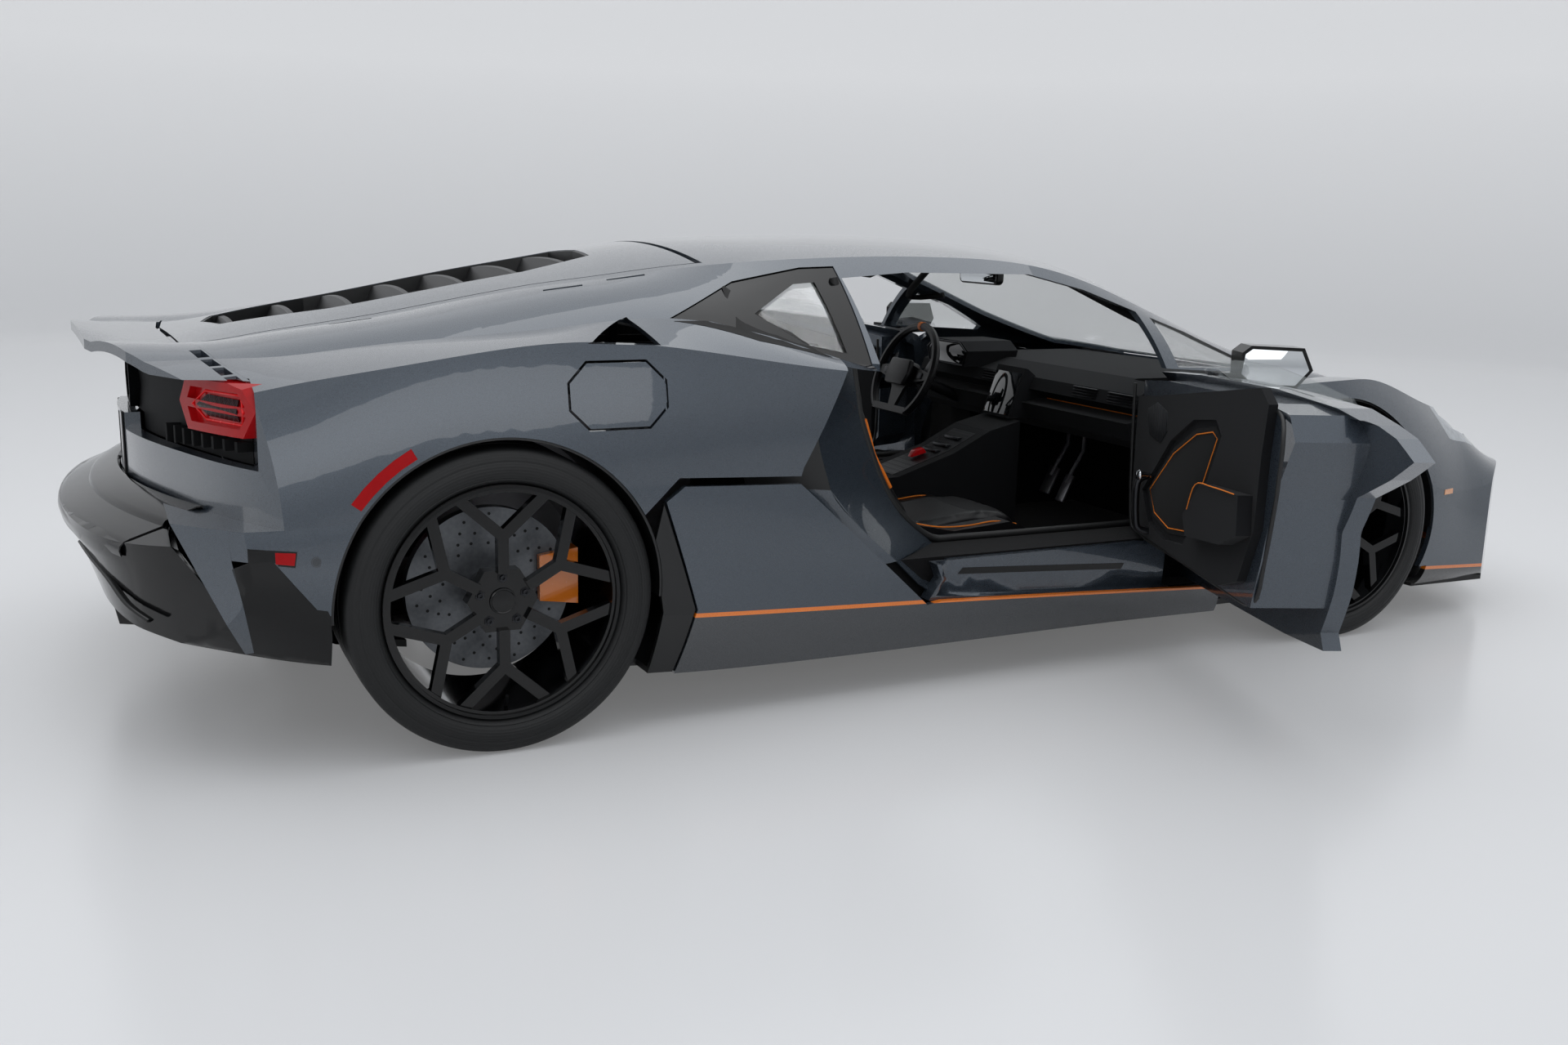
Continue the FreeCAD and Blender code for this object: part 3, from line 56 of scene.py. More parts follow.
def linear(code: str) -> tuple[float, float, float, float]:
    """Turn an sRGB hex colour into linear values for a shader.

    Args:
        code: Six hex digits, with or without a leading hash.

    Returns:
        Linear red, green and blue, with an alpha of 1.
    """
    parts = [int(code.lstrip("#")[k:k + 2], 16) / 255 for k in (0, 2, 4)]
    red, green, blue = [c / 12.92 if c <= 0.04045 else ((c + 0.055) / 1.055) ** 2.4 for c in parts]
    return red, green, blue, 1.0


def add_node(tree: bpy.types.NodeTree, kind: str, settings: dict | None = None,
             links: dict | None = None) -> bpy.types.Node:
    """Add a shader node with its settings and links.

    Args:
        tree: The node tree that gets the node.
        kind: The node's type name.
        settings: Attribute names, or input names in square brackets, with their values.
        links: Input names or numbers with the output sockets that feed them.

    Returns:
        The new node.
    """
    node = tree.nodes.new(kind)
    for name, value in (settings or {}).items():
        if name.startswith("["):
            key = name[1:-1]
            node.inputs[int(key) if key.isdigit() else key].default_value = value
        else:
            setattr(node, name, value)
    for name, socket in (links or {}).items():
        tree.links.new(socket, node.inputs[int(name) if name.isdigit() else name])
    return node


def calculate(tree: bpy.types.NodeTree, operation: str, first: Socket | float, second: Socket | float = 0.0,
              third: Socket | float = 0.0) -> Socket:
    """Add one sum to a shader.

    Args:
        tree: The node tree that gets it.
        operation: The sum's name.
        first: A socket or a plain number.
        second: The same, where the sum takes two.
        third: The same, where it takes three.

    Returns:
        The socket that holds the result.
    """
    node = add_node(tree, "ShaderNodeMath", {"operation": operation})
    for k, value in enumerate((first, second, third)):
        if isinstance(value, (int, float)):
            node.inputs[k].default_value = value
        else:
            tree.links.new(value, node.inputs[k])
    return node.outputs[0]


class Pattern(Enum):
    """How a finish varies over a surface."""

    CLOUDS = "clouds"
    FLAKES = "flakes"
    GRAIN = "grain"
    WEAVE = "weave"
    MESH = "mesh"


@dataclass(frozen=True)
class Stripe:
    """A coloured line across a panel seen from the side, with a colour of its own below it."""

    rear: tuple[float, float]
    front: tuple[float, float]
    half: float = 0.0055
    colour: str = "#F07D14"
    below: str = "#24272B"


@dataclass(frozen=True)
class Treads:
    """Rings and blocks moulded round a tyre, in metres apart from their depth."""

    centre: Place
    radius: float
    pitch: float = 0.034
    depth_mm: float = 3.0
    lean: float = 9.0
    gap_share: float = 0.16
    shoulder: float = 0.016
    ring_pace: float = 900.0
    ring_height: float = 0.07


@dataclass(frozen=True)
class Finish:
    """A real finish: colours, gloss, and a pattern whose scale is a real size."""

    name: str
    base: str
    tint: str
    roughness: float
    metallic: float = 0.0
    coat: float = 0.0
    ior: float = 1.5
    pattern: Pattern = Pattern.CLOUDS
    grain_mm: float = 3.0
    bump_mm: float = 0.0
    spread: float = 0.08
    sheen: float = 0.0
    glow: float = 0.0
    transmission: float = 0.0
    alpha: float = 1.0
    stripe: Stripe | None = None
    treads: Treads | None = None

    def build(self) -> bpy.types.Material:
        """Make the material, or return it where it is made already."""
        ready = bpy.data.materials.get(self.name)
        if ready:
            return ready
        material = bpy.data.materials.new(self.name)
        material.use_nodes = True
        tree = material.node_tree
        tree.nodes.clear()
        place = add_node(tree, "ShaderNodeTexCoord").outputs["Object"]
        texture = self.texture(tree, place)
        colour = add_node(tree, "ShaderNodeMix",
                          {"data_type": "RGBA", "[6]": linear(self.base), "[7]": linear(self.tint)},
                          {"0": texture}).outputs[2]
        metal = self.metallic
        if self.stripe:
            colour, metal = self.striped(tree, place, colour)
        rough = add_node(tree, "ShaderNodeMapRange",
                         {"[3]": max(0.02, self.roughness - self.spread),
                          "[4]": min(1.0, self.roughness + self.spread)}, {"Value": texture})
        shader = add_node(tree, "ShaderNodeBsdfPrincipled",
                          {"[IOR]": self.ior, "[Coat Weight]": self.coat,
                           "[Coat Roughness]": 0.02, "[Sheen Weight]": self.sheen,
                           "[Transmission Weight]": self.transmission, "[Alpha]": self.alpha},
                          {"Base Color": colour, "Roughness": rough.outputs[0]})
        if isinstance(metal, float):
            shader.inputs["Metallic"].default_value = metal
        else:
            tree.links.new(metal, shader.inputs["Metallic"])
        if self.glow:
            shader.inputs["Emission Color"].default_value = linear(self.base)
            shader.inputs["Emission Strength"].default_value = self.glow
        height = self.tread_height(tree, place) if self.treads else texture
        depth = self.treads.depth_mm if self.treads else self.bump_mm
        if depth:
            bump = add_node(tree, "ShaderNodeBump", {"[Distance]": depth * MM, "[Strength]": 0.9},
                            {"Height": height})
            tree.links.new(bump.outputs[0], shader.inputs["Normal"])
        add_node(tree, "ShaderNodeOutputMaterial", links={"Surface": shader.outputs[0]})
        return material

    def texture(self, tree: bpy.types.NodeTree, place: Socket) -> Socket:
        """Add the pattern's nodes.

        Args:
            tree: The material's tree.
            place: Object coordinates.

        Returns:
            The socket that holds the pattern's strength.
        """
        scale = 1.0 / (self.grain_mm * MM)
        if self.pattern in (Pattern.WEAVE, Pattern.MESH):
            ways = ("X", "Z") if self.pattern is Pattern.WEAVE else ("X", "Y")
            waves = [add_node(tree, "ShaderNodeTexWave",
                              {"bands_direction": way, "[Scale]": scale / 6.28, "[Distortion]": 0.3},
                              {"Vector": place}).outputs["Fac"] for way in ways]
            return calculate(tree, "MAXIMUM", *waves)
        if self.pattern is Pattern.FLAKES:
            cells = add_node(tree, "ShaderNodeTexVoronoi", {"[Scale]": scale}, {"Vector": place})
            return cells.outputs["Color"]
        detail = 6.0 if self.pattern is Pattern.CLOUDS else 2.0
        return add_node(tree, "ShaderNodeTexNoise", {"[Scale]": scale, "[Detail]": detail},
                        {"Vector": place}).outputs["Fac"]

    def striped(self, tree: bpy.types.NodeTree, place: Socket, colour: Socket) -> tuple[Socket, Socket]:
        """Lay the stripe and the colour below it over the finish.

        Args:
            tree: The material's tree.
            place: Object coordinates.
            colour: The finish's own colour.

        Returns:
            The new colour and how metallic it is.
        """
        line = self.stripe
        axes = add_node(tree, "ShaderNodeSeparateXYZ", links={"0": place})
        slope = (line.front[1] - line.rear[1]) / (line.front[0] - line.rear[0])
        ahead = calculate(tree, "SUBTRACT", axes.outputs[0], line.rear[0])
        level = calculate(tree, "MULTIPLY_ADD", ahead, slope, line.rear[1])
        above = calculate(tree, "SUBTRACT", axes.outputs[2], level)
        low = calculate(tree, "LESS_THAN", above, -line.half)
        on = calculate(tree, "LESS_THAN", calculate(tree, "ABSOLUTE", above), line.half)
        dark = add_node(tree, "ShaderNodeMix", {"data_type": "RGBA", "[7]": linear(line.below)},
                        {"0": low, "6": colour}).outputs[2]
        lit = add_node(tree, "ShaderNodeMix", {"data_type": "RGBA", "[7]": linear(line.colour)},
                       {"0": on, "6": dark}).outputs[2]
        plain = calculate(tree, "SUBTRACT", 1.0, calculate(tree, "MAXIMUM", low, on))
        return lit, calculate(tree, "MULTIPLY", plain, self.metallic)

    def tread_height(self, tree: bpy.types.NodeTree, place: Socket) -> Socket:
        """Work out the height of the tyre's moulded blocks and rings.

        Args:
            tree: The material's tree.
            place: Object coordinates.

        Returns:
            The socket that holds the height, from -1 in a gap to 0 on a block.
        """
        tread = self.treads
        moved = add_node(tree, "ShaderNodeMapping", {"[Location]": tuple(-c for c in tread.centre)},
                         {"Vector": place}).outputs[0]
        axes = add_node(tree, "ShaderNodeSeparateXYZ", links={"0": moved})
        turn = calculate(tree, "ARCTAN2", axes.outputs[2], axes.outputs[0])
        squares = [calculate(tree, "POWER", axes.outputs[k], 2.0) for k in (0, 2)]
        radius = calculate(tree, "SQRT", calculate(tree, "ADD", *squares))
        lean = calculate(tree, "MULTIPLY", calculate(tree, "ABSOLUTE", axes.outputs[1]), tread.lean)
        count = round(2 * math.pi * tread.radius / tread.pitch)
        step = calculate(tree, "FRACT", calculate(tree, "MULTIPLY_ADD", turn, count / (2 * math.pi), lean))
        gap = calculate(tree, "LESS_THAN", step, tread.gap_share)
        on_tread = calculate(tree, "GREATER_THAN", radius, tread.radius - tread.shoulder)
        gaps = calculate(tree, "MULTIPLY", gap, on_tread)
        waves = calculate(tree, "SINE", calculate(tree, "MULTIPLY", radius, tread.ring_pace))
        rings = calculate(tree, "MULTIPLY", waves, tread.ring_height)
        wall = calculate(tree, "MULTIPLY", rings, calculate(tree, "SUBTRACT", 1.0, on_tread))
        return calculate(tree, "SUBTRACT", wall, gaps)


# Paint: blue-grey metallic under clear lacquer, so it mirrors crisply and darkens away from the light.
PAINT = Finish("blue_grey_metallic_paint", "#3A424B", "#424B55", 0.30, metallic=0.55, coat=1.0,
               pattern=Pattern.FLAKES, grain_mm=1.2, spread=0.05)
PAINT_DARK = replace(PAINT, name="blue_grey_paint_in_shade", base="#23282E", tint="#2A3036")
PAINT_SILL = replace(PAINT, name="blue_grey_paint_with_sill_line",
                     stripe=Stripe((-0.95, 0.285), (0.9, 0.1879), below="#2B2F34"))
PAINT_NOSE = replace(PAINT, name="blue_grey_paint_with_nose_line",
                     stripe=Stripe((1.66, 0.180), (2.3, 0.1352), below="#08090A"))
GLOSS_BLACK = Finish("gloss_black_lacquer", "#050506", "#08090A", 0.10, ior=1.38, grain_mm=60, spread=0.02)
SATIN_BLACK = Finish("moulded_black_abs", "#08090A", "#0D0E10", 0.42, pattern=Pattern.GRAIN, grain_mm=0.8,
                     bump_mm=0.05)
FASCIA_BLACK = replace(SATIN_BLACK, name="grained_black_fascia", ior=1.2, roughness=0.6)
RUBBER = Finish("tyre_rubber", "#0C0D0E", "#141516", 0.55, ior=1.42, grain_mm=8)
SEAL = Finish("extruded_seal_rubber", "#0B0C0D", "#101112", 0.55, grain_mm=3)
# Painted shade: near black laid where the disc drillings and the recess under each sail fall into shadow.
SHADOW = Finish("painted_shade_black", "#060606", "#0A0A0A", 0.8, grain_mm=3)
GLASS = Finish("green_tinted_glass", "#C9D6D0", "#CFDAD5", 0.02, ior=1.45, transmission=1.0, grain_mm=200,
               spread=0.0, alpha=0.22)
DARK_GLASS = Finish("smoked_glass", "#0C0E10", "#111416", 0.05, ior=1.45, coat=1.0, grain_mm=200, spread=0.01)
MIRROR = Finish("silvered_mirror_glass", "#C9CDD0", "#CED2D5", 0.03, metallic=1.0, grain_mm=200, spread=0.0)
ORANGE = Finish("orange_lacquer", "#F07A12", "#F58A20", 0.25, coat=0.8, grain_mm=20)
ORANGE_HIDE = Finish("orange_nappa_leather", "#E2700F", "#EE7E1C", 0.45, pattern=Pattern.GRAIN, grain_mm=1.8,
                     bump_mm=0.15)
ORANGE_THREAD = Finish("orange_bonded_thread", "#F08418", "#DD7410", 0.7, pattern=Pattern.GRAIN, grain_mm=1.0,
                       bump_mm=0.2)
# Its faint glow is painted light where it dresses the start guard and the low reflectors, which are no lamps.
LAMP_RED = Finish("red_acrylic_lens", "#A30D12", "#8A0A0E", 0.14, ior=1.25, grain_mm=12, glow=0.12)
LAMP_DEEP = Finish("deep_red_reflector", "#160406", "#2A060A", 0.2, ior=1.3, pattern=Pattern.MESH, grain_mm=4)
LAMP_GLOW = Finish("lit_red_light_guide", "#C01418", "#D01C20", 0.25, ior=1.3, grain_mm=12, glow=0.2)
LAMP_CLEAR = Finish("clear_polycarbonate_lens", "#70777D", "#A9B0B5", 0.08, coat=1.0, grain_mm=20)
AMBER = Finish("amber_acrylic_lens", "#D9864A", "#E9B48A", 0.12, coat=1.0, grain_mm=6)
SUEDE = Finish("charcoal_microfibre", "#0D0E10", "#151619", 0.9, ior=1.3, pattern=Pattern.GRAIN, grain_mm=1.5,
               bump_mm=0.15, sheen=0.03)
SUEDE_DARK = replace(SUEDE, name="black_microfibre", base="#070708", tint="#0C0D0E")
LEATHER = Finish("black_nappa_leather", "#0A0A0C", "#101013", 0.42, ior=1.4, pattern=Pattern.GRAIN,
                 grain_mm=1.8, bump_mm=0.2)
CARPET = Finish("black_loop_carpet", "#08080A", "#101012", 0.95, ior=1.3, pattern=Pattern.GRAIN, grain_mm=2.5,
                bump_mm=1.0, sheen=0.05)
CARBON = Finish("carbon_fibre_weave", "#08090A", "#141518", 0.4, ior=1.3, pattern=Pattern.WEAVE, grain_mm=4)
CERAMIC = Finish("carbon_ceramic_disc", "#4C4F53", "#6E7175", 0.36, metallic=0.5, grain_mm=10)
CAST = Finish("cast_aluminium", "#74777B", "#85888C", 0.5, metallic=0.9, grain_mm=4, bump_mm=0.1)
BLACK_STEEL = Finish("blackened_steel", "#2A2B2D", "#343538", 0.35, metallic=0.9, grain_mm=2)
CHROME = Finish("satin_chrome", "#B9BCC0", "#C8CBCE", 0.16, metallic=1.0, grain_mm=8, spread=0.04)
PLATE_WHITE = Finish("white_enamelled_plate", "#E9EAEA", "#F0F1F1", 0.35, coat=0.3, grain_mm=15)
SPEAKER = Finish("punched_speaker_mesh", "#0E0F10", "#2A2C2F", 0.5, metallic=0.6, pattern=Pattern.MESH,
                 grain_mm=5, bump_mm=0.6)

NODE_FINISHES: dict[str, Finish] = {
    "roof_and_pillars": PAINT, "front_fenders": PAINT, "side_skirts": PAINT_SILL, "front_bumper": PAINT_NOSE,
    "rear_bumper": PAINT, "front_lid": PAINT, "engine_lid": PAINT, "tail_spoiler": PAINT, "fuel_flap": PAINT,
    "door_jambs": PAINT, "sail_panels": GLOSS_BLACK,
    "engine_grille": SATIN_BLACK, "front_grilles": SATIN_BLACK, "arch_liners": SATIN_BLACK,
    "front_splitter": GLOSS_BLACK, "diffuser": GLOSS_BLACK,
    "rear_fascia": FASCIA_BLACK, "tail_lamps": LAMP_RED, "headlamps": LAMP_CLEAR, "exhaust": BLACK_STEEL,
    "underbody": SATIN_BLACK, "tub": CARPET, "engine_block": CAST, "seats": LEATHER, "console": SUEDE,
    "dashboard": SUEDE, "luggage_tub": SATIN_BLACK, "suspension_arms": CAST, "rear_knuckles": CAST,
    "rear_calipers": ORANGE, "steering_wheel": LEATHER, "windscreen": GLASS, "quarter_windows": GLASS,
}
for _side in ("left", "right"):
    NODE_FINISHES["rear_quarter_" + _side] = PAINT
    NODE_FINISHES["door_" + _side] = PAINT
    NODE_FINISHES["door_card_" + _side] = SUEDE
    NODE_FINISHES["door_glass_" + _side] = GLASS
    NODE_FINISHES["door_mirror_" + _side] = GLOSS_BLACK
    NODE_FINISHES["front_knuckle_" + _side] = CAST
    NODE_FINISHES["front_caliper_" + _side] = ORANGE
    for _end in ("front", "rear"):
        NODE_FINISHES[f"{_end}_tyre_{_side}"] = RUBBER
        NODE_FINISHES[f"{_end}_rim_{_side}"] = GLOSS_BLACK
        NODE_FINISHES[f"{_end}_disc_{_side}"] = CERAMIC


def dress_nodes() -> None:
    """Give every CAD node that is shown its finish."""
    for name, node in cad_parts.items():
        node.data.materials.clear()
        node.data.materials.append(NODE_FINISHES[name].build())
        LOG.info("%s dressed as %s", name, NODE_FINISHES[name].name)


def rounded(shape: bmesh.types.BMesh, round_mm: float) -> bmesh.types.BMesh:
    """Round every edge that turns by more than 25 degrees.

    Args:
        shape: The shape to round, changed in place.
        round_mm: Radius of the edges, or 0 to leave them.

    Returns:
        The same shape.
    """
    if round_mm:
        sharp = [e for e in shape.edges if len(e.link_faces) == 2 and e.calc_face_angle(0.0) > SHARP_TURN]
        bmesh.ops.bevel(shape, geom=sharp, offset=round_mm, affect="EDGES", segments=2, profile=0.5,
                        material=-1, clamp_overlap=True)
    return shape


def block(low: Place, high: Place, round_mm: float = 0.0) -> bmesh.types.BMesh:
    """Make a box between two corners.

    Args:
        low: The lowest corner, in millimetres.
        high: The highest corner.
        round_mm: Radius of the edges.

    Returns:
        The box.
    """
    shape = bmesh.new()
    bmesh.ops.create_cube(shape, size=1.0)
    bmesh.ops.scale(shape, vec=[b - a for a, b in zip(low, high)], verts=shape.verts)
    bmesh.ops.translate(shape, vec=[(a + b) / 2 for a, b in zip(low, high)], verts=shape.verts)
    return rounded(shape, round_mm)


def prism(outline: Line, axis: int, near: float, far: float, round_mm: float = 0.0) -> bmesh.types.BMesh:
    """Push an outline out along an axis.

    Args:
        outline: Corners, in millimetres, in the plane of the other two axes, taken in the order X, Y, Z.
        axis: 0, 1 or 2 for the axis that it is pushed along.
        near: Where it starts on that axis.
        far: Where it ends.
        round_mm: Radius of the edges.

    Returns:
        The block.
    """
    shape = bmesh.new()
    corners = []
    for first, second in outline:
        place = [first, second]
        place.insert(axis, near)
        corners.append(shape.verts.new(place))
    face = bmesh.ops.contextual_create(shape, geom=corners)["faces"]
    pushed = bmesh.ops.extrude_face_region(shape, geom=face)["geom"]
    step = [0.0, 0.0, 0.0]
    step[axis] = far - near
    bmesh.ops.translate(shape, vec=step, verts=only(pushed, bmesh.types.BMVert))
    bmesh.ops.recalc_face_normals(shape, faces=shape.faces)
    return rounded(shape, round_mm)


def only(geometry: list, kind: type) -> list:
    """Keep the elements of one kind: corners, edges or faces."""
    return [element for element in geometry if isinstance(element, kind)]


def lathe(profile: Line, centre: tuple[float, float], steps: int = 64) -> bmesh.types.BMesh:
    """Turn a profile of distance out and radius round a line along Y.

    Args:
        profile: Pairs of Y and radius, in millimetres. An open one starts and ends on the line.
        centre: X and Z of the line.
        steps: Facets round it.

    Returns:
        The turned shape.
    """
    shape = bmesh.new()
    rim = [shape.verts.new((centre[0], out, centre[1] + radius)) for out, radius in profile]
    closed = profile[0][1] > WELD_MM
    pairs = list(zip(rim, rim[1:])) + ([(rim[-1], rim[0])] if closed else [])
    edges = [shape.edges.new(pair) for pair in pairs]
    bmesh.ops.spin(shape, geom=rim + edges, cent=(centre[0], 0.0, centre[1]), axis=(0.0, 1.0, 0.0),
                   angle=2 * math.pi, steps=steps, use_merge=True)
    bmesh.ops.remove_doubles(shape, verts=shape.verts, dist=WELD_MM)
    bmesh.ops.recalc_face_normals(shape, faces=shape.faces)
    return shape


def tube(path: Line, radius: float, sides: int = 8, closed: bool = False,
         flat: float = 1.0) -> bmesh.types.BMesh:
    """Draw a round section along a path.

    Args:
        path: Points in millimetres.
        radius: Radius of the section.
        sides: Facets round it.
        closed: Whether the path ends where it starts.
        flat: Height of the section against its width.

    Returns:
        The tube, closed at its ends or joined to itself.
    """
    shape = bmesh.new()
    points = [Vector(p) for p in path]
    count = len(points)
    frames = []
    above = Vector((0.0, 0.0, 1.0))
    for k, point in enumerate(points):
        before = points[k - 1] if closed or k else point
        after = points[(k + 1) % count] if closed or k + 1 < count else point
        ahead = (after - before).normalized()
        if abs(ahead.dot(above)) > 0.95:
            above = Vector((1.0, 0.0, 0.0)) if abs(ahead.x) < 0.8 else Vector((0.0, 1.0, 0.0))
        side = ahead.cross(above).normalized()
        above = side.cross(ahead)
        frames.append(Matrix.Translation(point) @ Matrix((side, above, ahead)).transposed().to_4x4())
    first = bmesh.ops.create_circle(shape, segments=sides, radius=radius, cap_ends=False)["verts"]
    bmesh.ops.scale(shape, vec=(1.0, flat, 1.0), verts=first)
    bmesh.ops.transform(shape, matrix=frames[0], verts=first)
    start = list({e for v in first for e in v.link_edges})
    ring = start
    for before, after in zip(frames, frames[1:]):
        made = bmesh.ops.extrude_edge_only(shape, edges=ring)["geom"]
        bmesh.ops.transform(shape, matrix=after @ before.inverted(), verts=only(made, bmesh.types.BMVert))
        ring = only(made, bmesh.types.BMEdge)
    if closed:
        bmesh.ops.bridge_loops(shape, edges=start + ring)
    else:
        bmesh.ops.edgeloop_fill(shape, edges=start)
        bmesh.ops.edgeloop_fill(shape, edges=ring)
    bmesh.ops.recalc_face_normals(shape, faces=shape.faces)
    return shape


def curve_through(points: Line, steps: int = 5) -> list[Vector]:
    """Run a smooth line through points.

    Args:
        points: Where it passes.
        steps: Straight pieces between one point and the next.

    Returns:
        Points along the line.
    """
    line = [Vector(p) for p in points]
    last = len(line) - 1
    smooth = []
    for k in range(last):
        around = [line[min(max(j, 0), last)] for j in range(k - 1, k + 3)]
        for n in range(steps):
            t = n / steps
            smooth.append(0.5 * ((2 * around[1]) + (around[2] - around[0]) * t
                                 + (2 * around[0] - 5 * around[1] + 4 * around[2] - around[3]) * t * t
                                 + (3 * around[1] - around[0] - 3 * around[2] + around[3]) * t ** 3))
    smooth.append(line[-1])
    return smooth


def loft(lines: list) -> bmesh.types.BMesh:
    """Stretch a sheet over several lines of points and give it a thickness away from the viewer.

    Args:
        lines: Lines with the same number of points each, in millimetres.

    Returns:
        The sheet.
    """
    shape = bmesh.new()
    row = [shape.verts.new(p) for p in lines[0]]
    edges = [shape.edges.new(pair) for pair in zip(row, row[1:])]
    for line in lines[1:]:
        before = {v: k for k, v in enumerate(row)}
        made = bmesh.ops.extrude_edge_only(shape, edges=edges)["geom"]
        fresh = only(made, bmesh.types.BMVert)
        row = [None] * len(line)
        for vert in fresh:
            old = next(e.other_vert(vert) for e in vert.link_edges if e.other_vert(vert) in before)
            row[before[old]] = vert
        for vert, place in zip(row, line):
            vert.co = Vector(place)
        edges = [e for e in only(made, bmesh.types.BMEdge) if all(v in fresh for v in e.verts)]
    bmesh.ops.recalc_face_normals(shape, faces=shape.faces)
    bmesh.ops.solidify(shape, geom=shape.faces[:], thickness=SHEET_MM)
    bmesh.ops.recalc_face_normals(shape, faces=shape.faces)
    return shape


def patch(tree: BVHTree, corners: Line, way: Place, lift: float, thick: float,
          steps: tuple[int, int] = (8, 4)) -> bmesh.types.BMesh:
    """Lay a four-cornered plate on a skin so that it follows it.

    Args:
        tree: The skin.
        corners: Four places in front of the skin, in order round the plate.
        way: The direction towards the skin.
        lift: How far the plate's face stands off the skin.
        thick: Its thickness.
        steps: Facets along and across.

    Returns:
        The plate.
    """
    a, b, c, d = (Vector(p) for p in corners)
    along, across = steps
    shape = bmesh.new()
    bmesh.ops.create_grid(shape, x_segments=along, y_segments=across, size=0.5)
    for vert in shape.verts:
        s, t = round((vert.co.x + 0.5) * along) / along, round((vert.co.y + 0.5) * across) / across
        vert.co = drop(tree, a.lerp(d, t).lerp(b.lerp(c, t), s), way, lift)
    heading = Vector(way).normalized()
    made = bmesh.ops.extrude_face_region(shape, geom=shape.faces[:])["geom"]
    bmesh.ops.translate(shape, vec=heading * thick, verts=only(made, bmesh.types.BMVert))
    bmesh.ops.recalc_face_normals(shape, faces=shape.faces)
    return shape


def joined(shapes: list) -> bmesh.types.BMesh:
    """Put several shapes into one mesh.

    Args:
        shapes: The shapes, freed here.

    Returns:
        One mesh of them all.
    """
    whole = bmesh.new()
    for shape in shapes:
        mesh = bpy.data.meshes.new("part")
        shape.to_mesh(mesh)
        whole.from_mesh(mesh)
        shape.free()
        bpy.data.meshes.remove(mesh)
    return whole


def copied(node: str) -> bmesh.types.BMesh:
    """Copy the mesh of a CAD node, in millimetres and with its facets joined."""
    shape = bmesh.new()
    shape.from_mesh(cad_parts[node].data)
    bmesh.ops.scale(shape, vec=(1 / MM,) * 3, verts=shape.verts)
    bmesh.ops.remove_doubles(shape, verts=shape.verts, dist=2 * WELD_MM)
    return shape


def cut_across(shape: bmesh.types.BMesh, axis: int, stations: tuple[float, ...]) -> None:
    """Add edges to a shape where planes across an axis pass through it.

    Args:
        shape: The shape, changed in place.
        axis: 0, 1 or 2.
        stations: Where the planes stand on that axis, in millimetres.
    """
    normal = Vector((0.0, 0.0, 0.0))
    normal[axis] = 1.0
    for station in stations:
        bmesh.ops.bisect_plane(shape, geom=shape.verts[:] + shape.edges[:] + shape.faces[:],
                               plane_co=normal * station, plane_no=normal)


def in_mm(node: str) -> BVHTree:
    """Search tree of the skin of a CAD node, in millimetres."""
    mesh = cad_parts[node].data
    faces = [face.vertices[:] for face in mesh.polygons]
    return BVHTree.FromPolygons([v.co / MM for v in mesh.vertices], faces)


def drop(tree: BVHTree, place: Place, way: Place, lift: float = 0.0) -> Vector:
    """Move a place along a direction until it meets a skin.

    Args:
        tree: The skin.
        place: Where it starts.
        way: The direction.
        lift: How far short of the skin it stops.

    Returns:
        The place on the skin, or beside its nearest part where the direction misses it.
    """
    heading = Vector(way).normalized()
    hit = tree.ray_cast(Vector(place), heading)[0]
    if hit is None:
        hit = tree.find_nearest(Vector(place))[0]
    return hit - lift * heading


def both(points: Line, side: int) -> list[Place]:
    """Turn points drawn with Y positive outwards to a side of the car."""
    return [(x, side * y, z) for x, y, z in points]


def beside(points: Line, side: int, out: float) -> list[Place]:
    """Set pairs of X and Z at a distance out on a side of the car."""
    return [(x, side * out, z) for x, z in points]


@dataclass
class Assembly:
    """Places finished shapes on one body of the frame."""

    body: str = "body"
    turn: Matrix = field(default_factory=lambda: Matrix.Identity(4))

    def place(self, name: str, shape: bmesh.types.BMesh, finish: Finish, crease: float = 35.0,
              stands_for: tuple = ()) -> bpy.types.Object:
        """Make a shape into a piece of the object.

        Args:
            name: The piece's plain name.
            shape: Its mesh in millimetres, freed here.
            finish: What its surface is.
            crease: Edges that turn by more degrees than this stay sharp.
            stands_for: CAD nodes that it is shown in place of.

        Returns:
            The piece, riding on this body.
        """
        bmesh.ops.transform(shape, matrix=Matrix.Scale(MM, 4) @ self.turn, verts=shape.verts)
        mesh = bpy.data.meshes.new(name)
        shape.to_mesh(mesh)
        shape.free()
        mesh.shade_smooth()
        mesh.set_sharp_from_angle(angle=math.radians(crease))
        mesh.materials.append(finish.build())
        piece = bpy.data.objects.new(name, mesh)
        bpy.context.scene.collection.objects.link(piece)
        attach(piece, self.body)
        if stands_for:
            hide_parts(*stands_for)
        LOG.info("%s on %s, %d faces", name, self.body, len(mesh.polygons))
        return piece


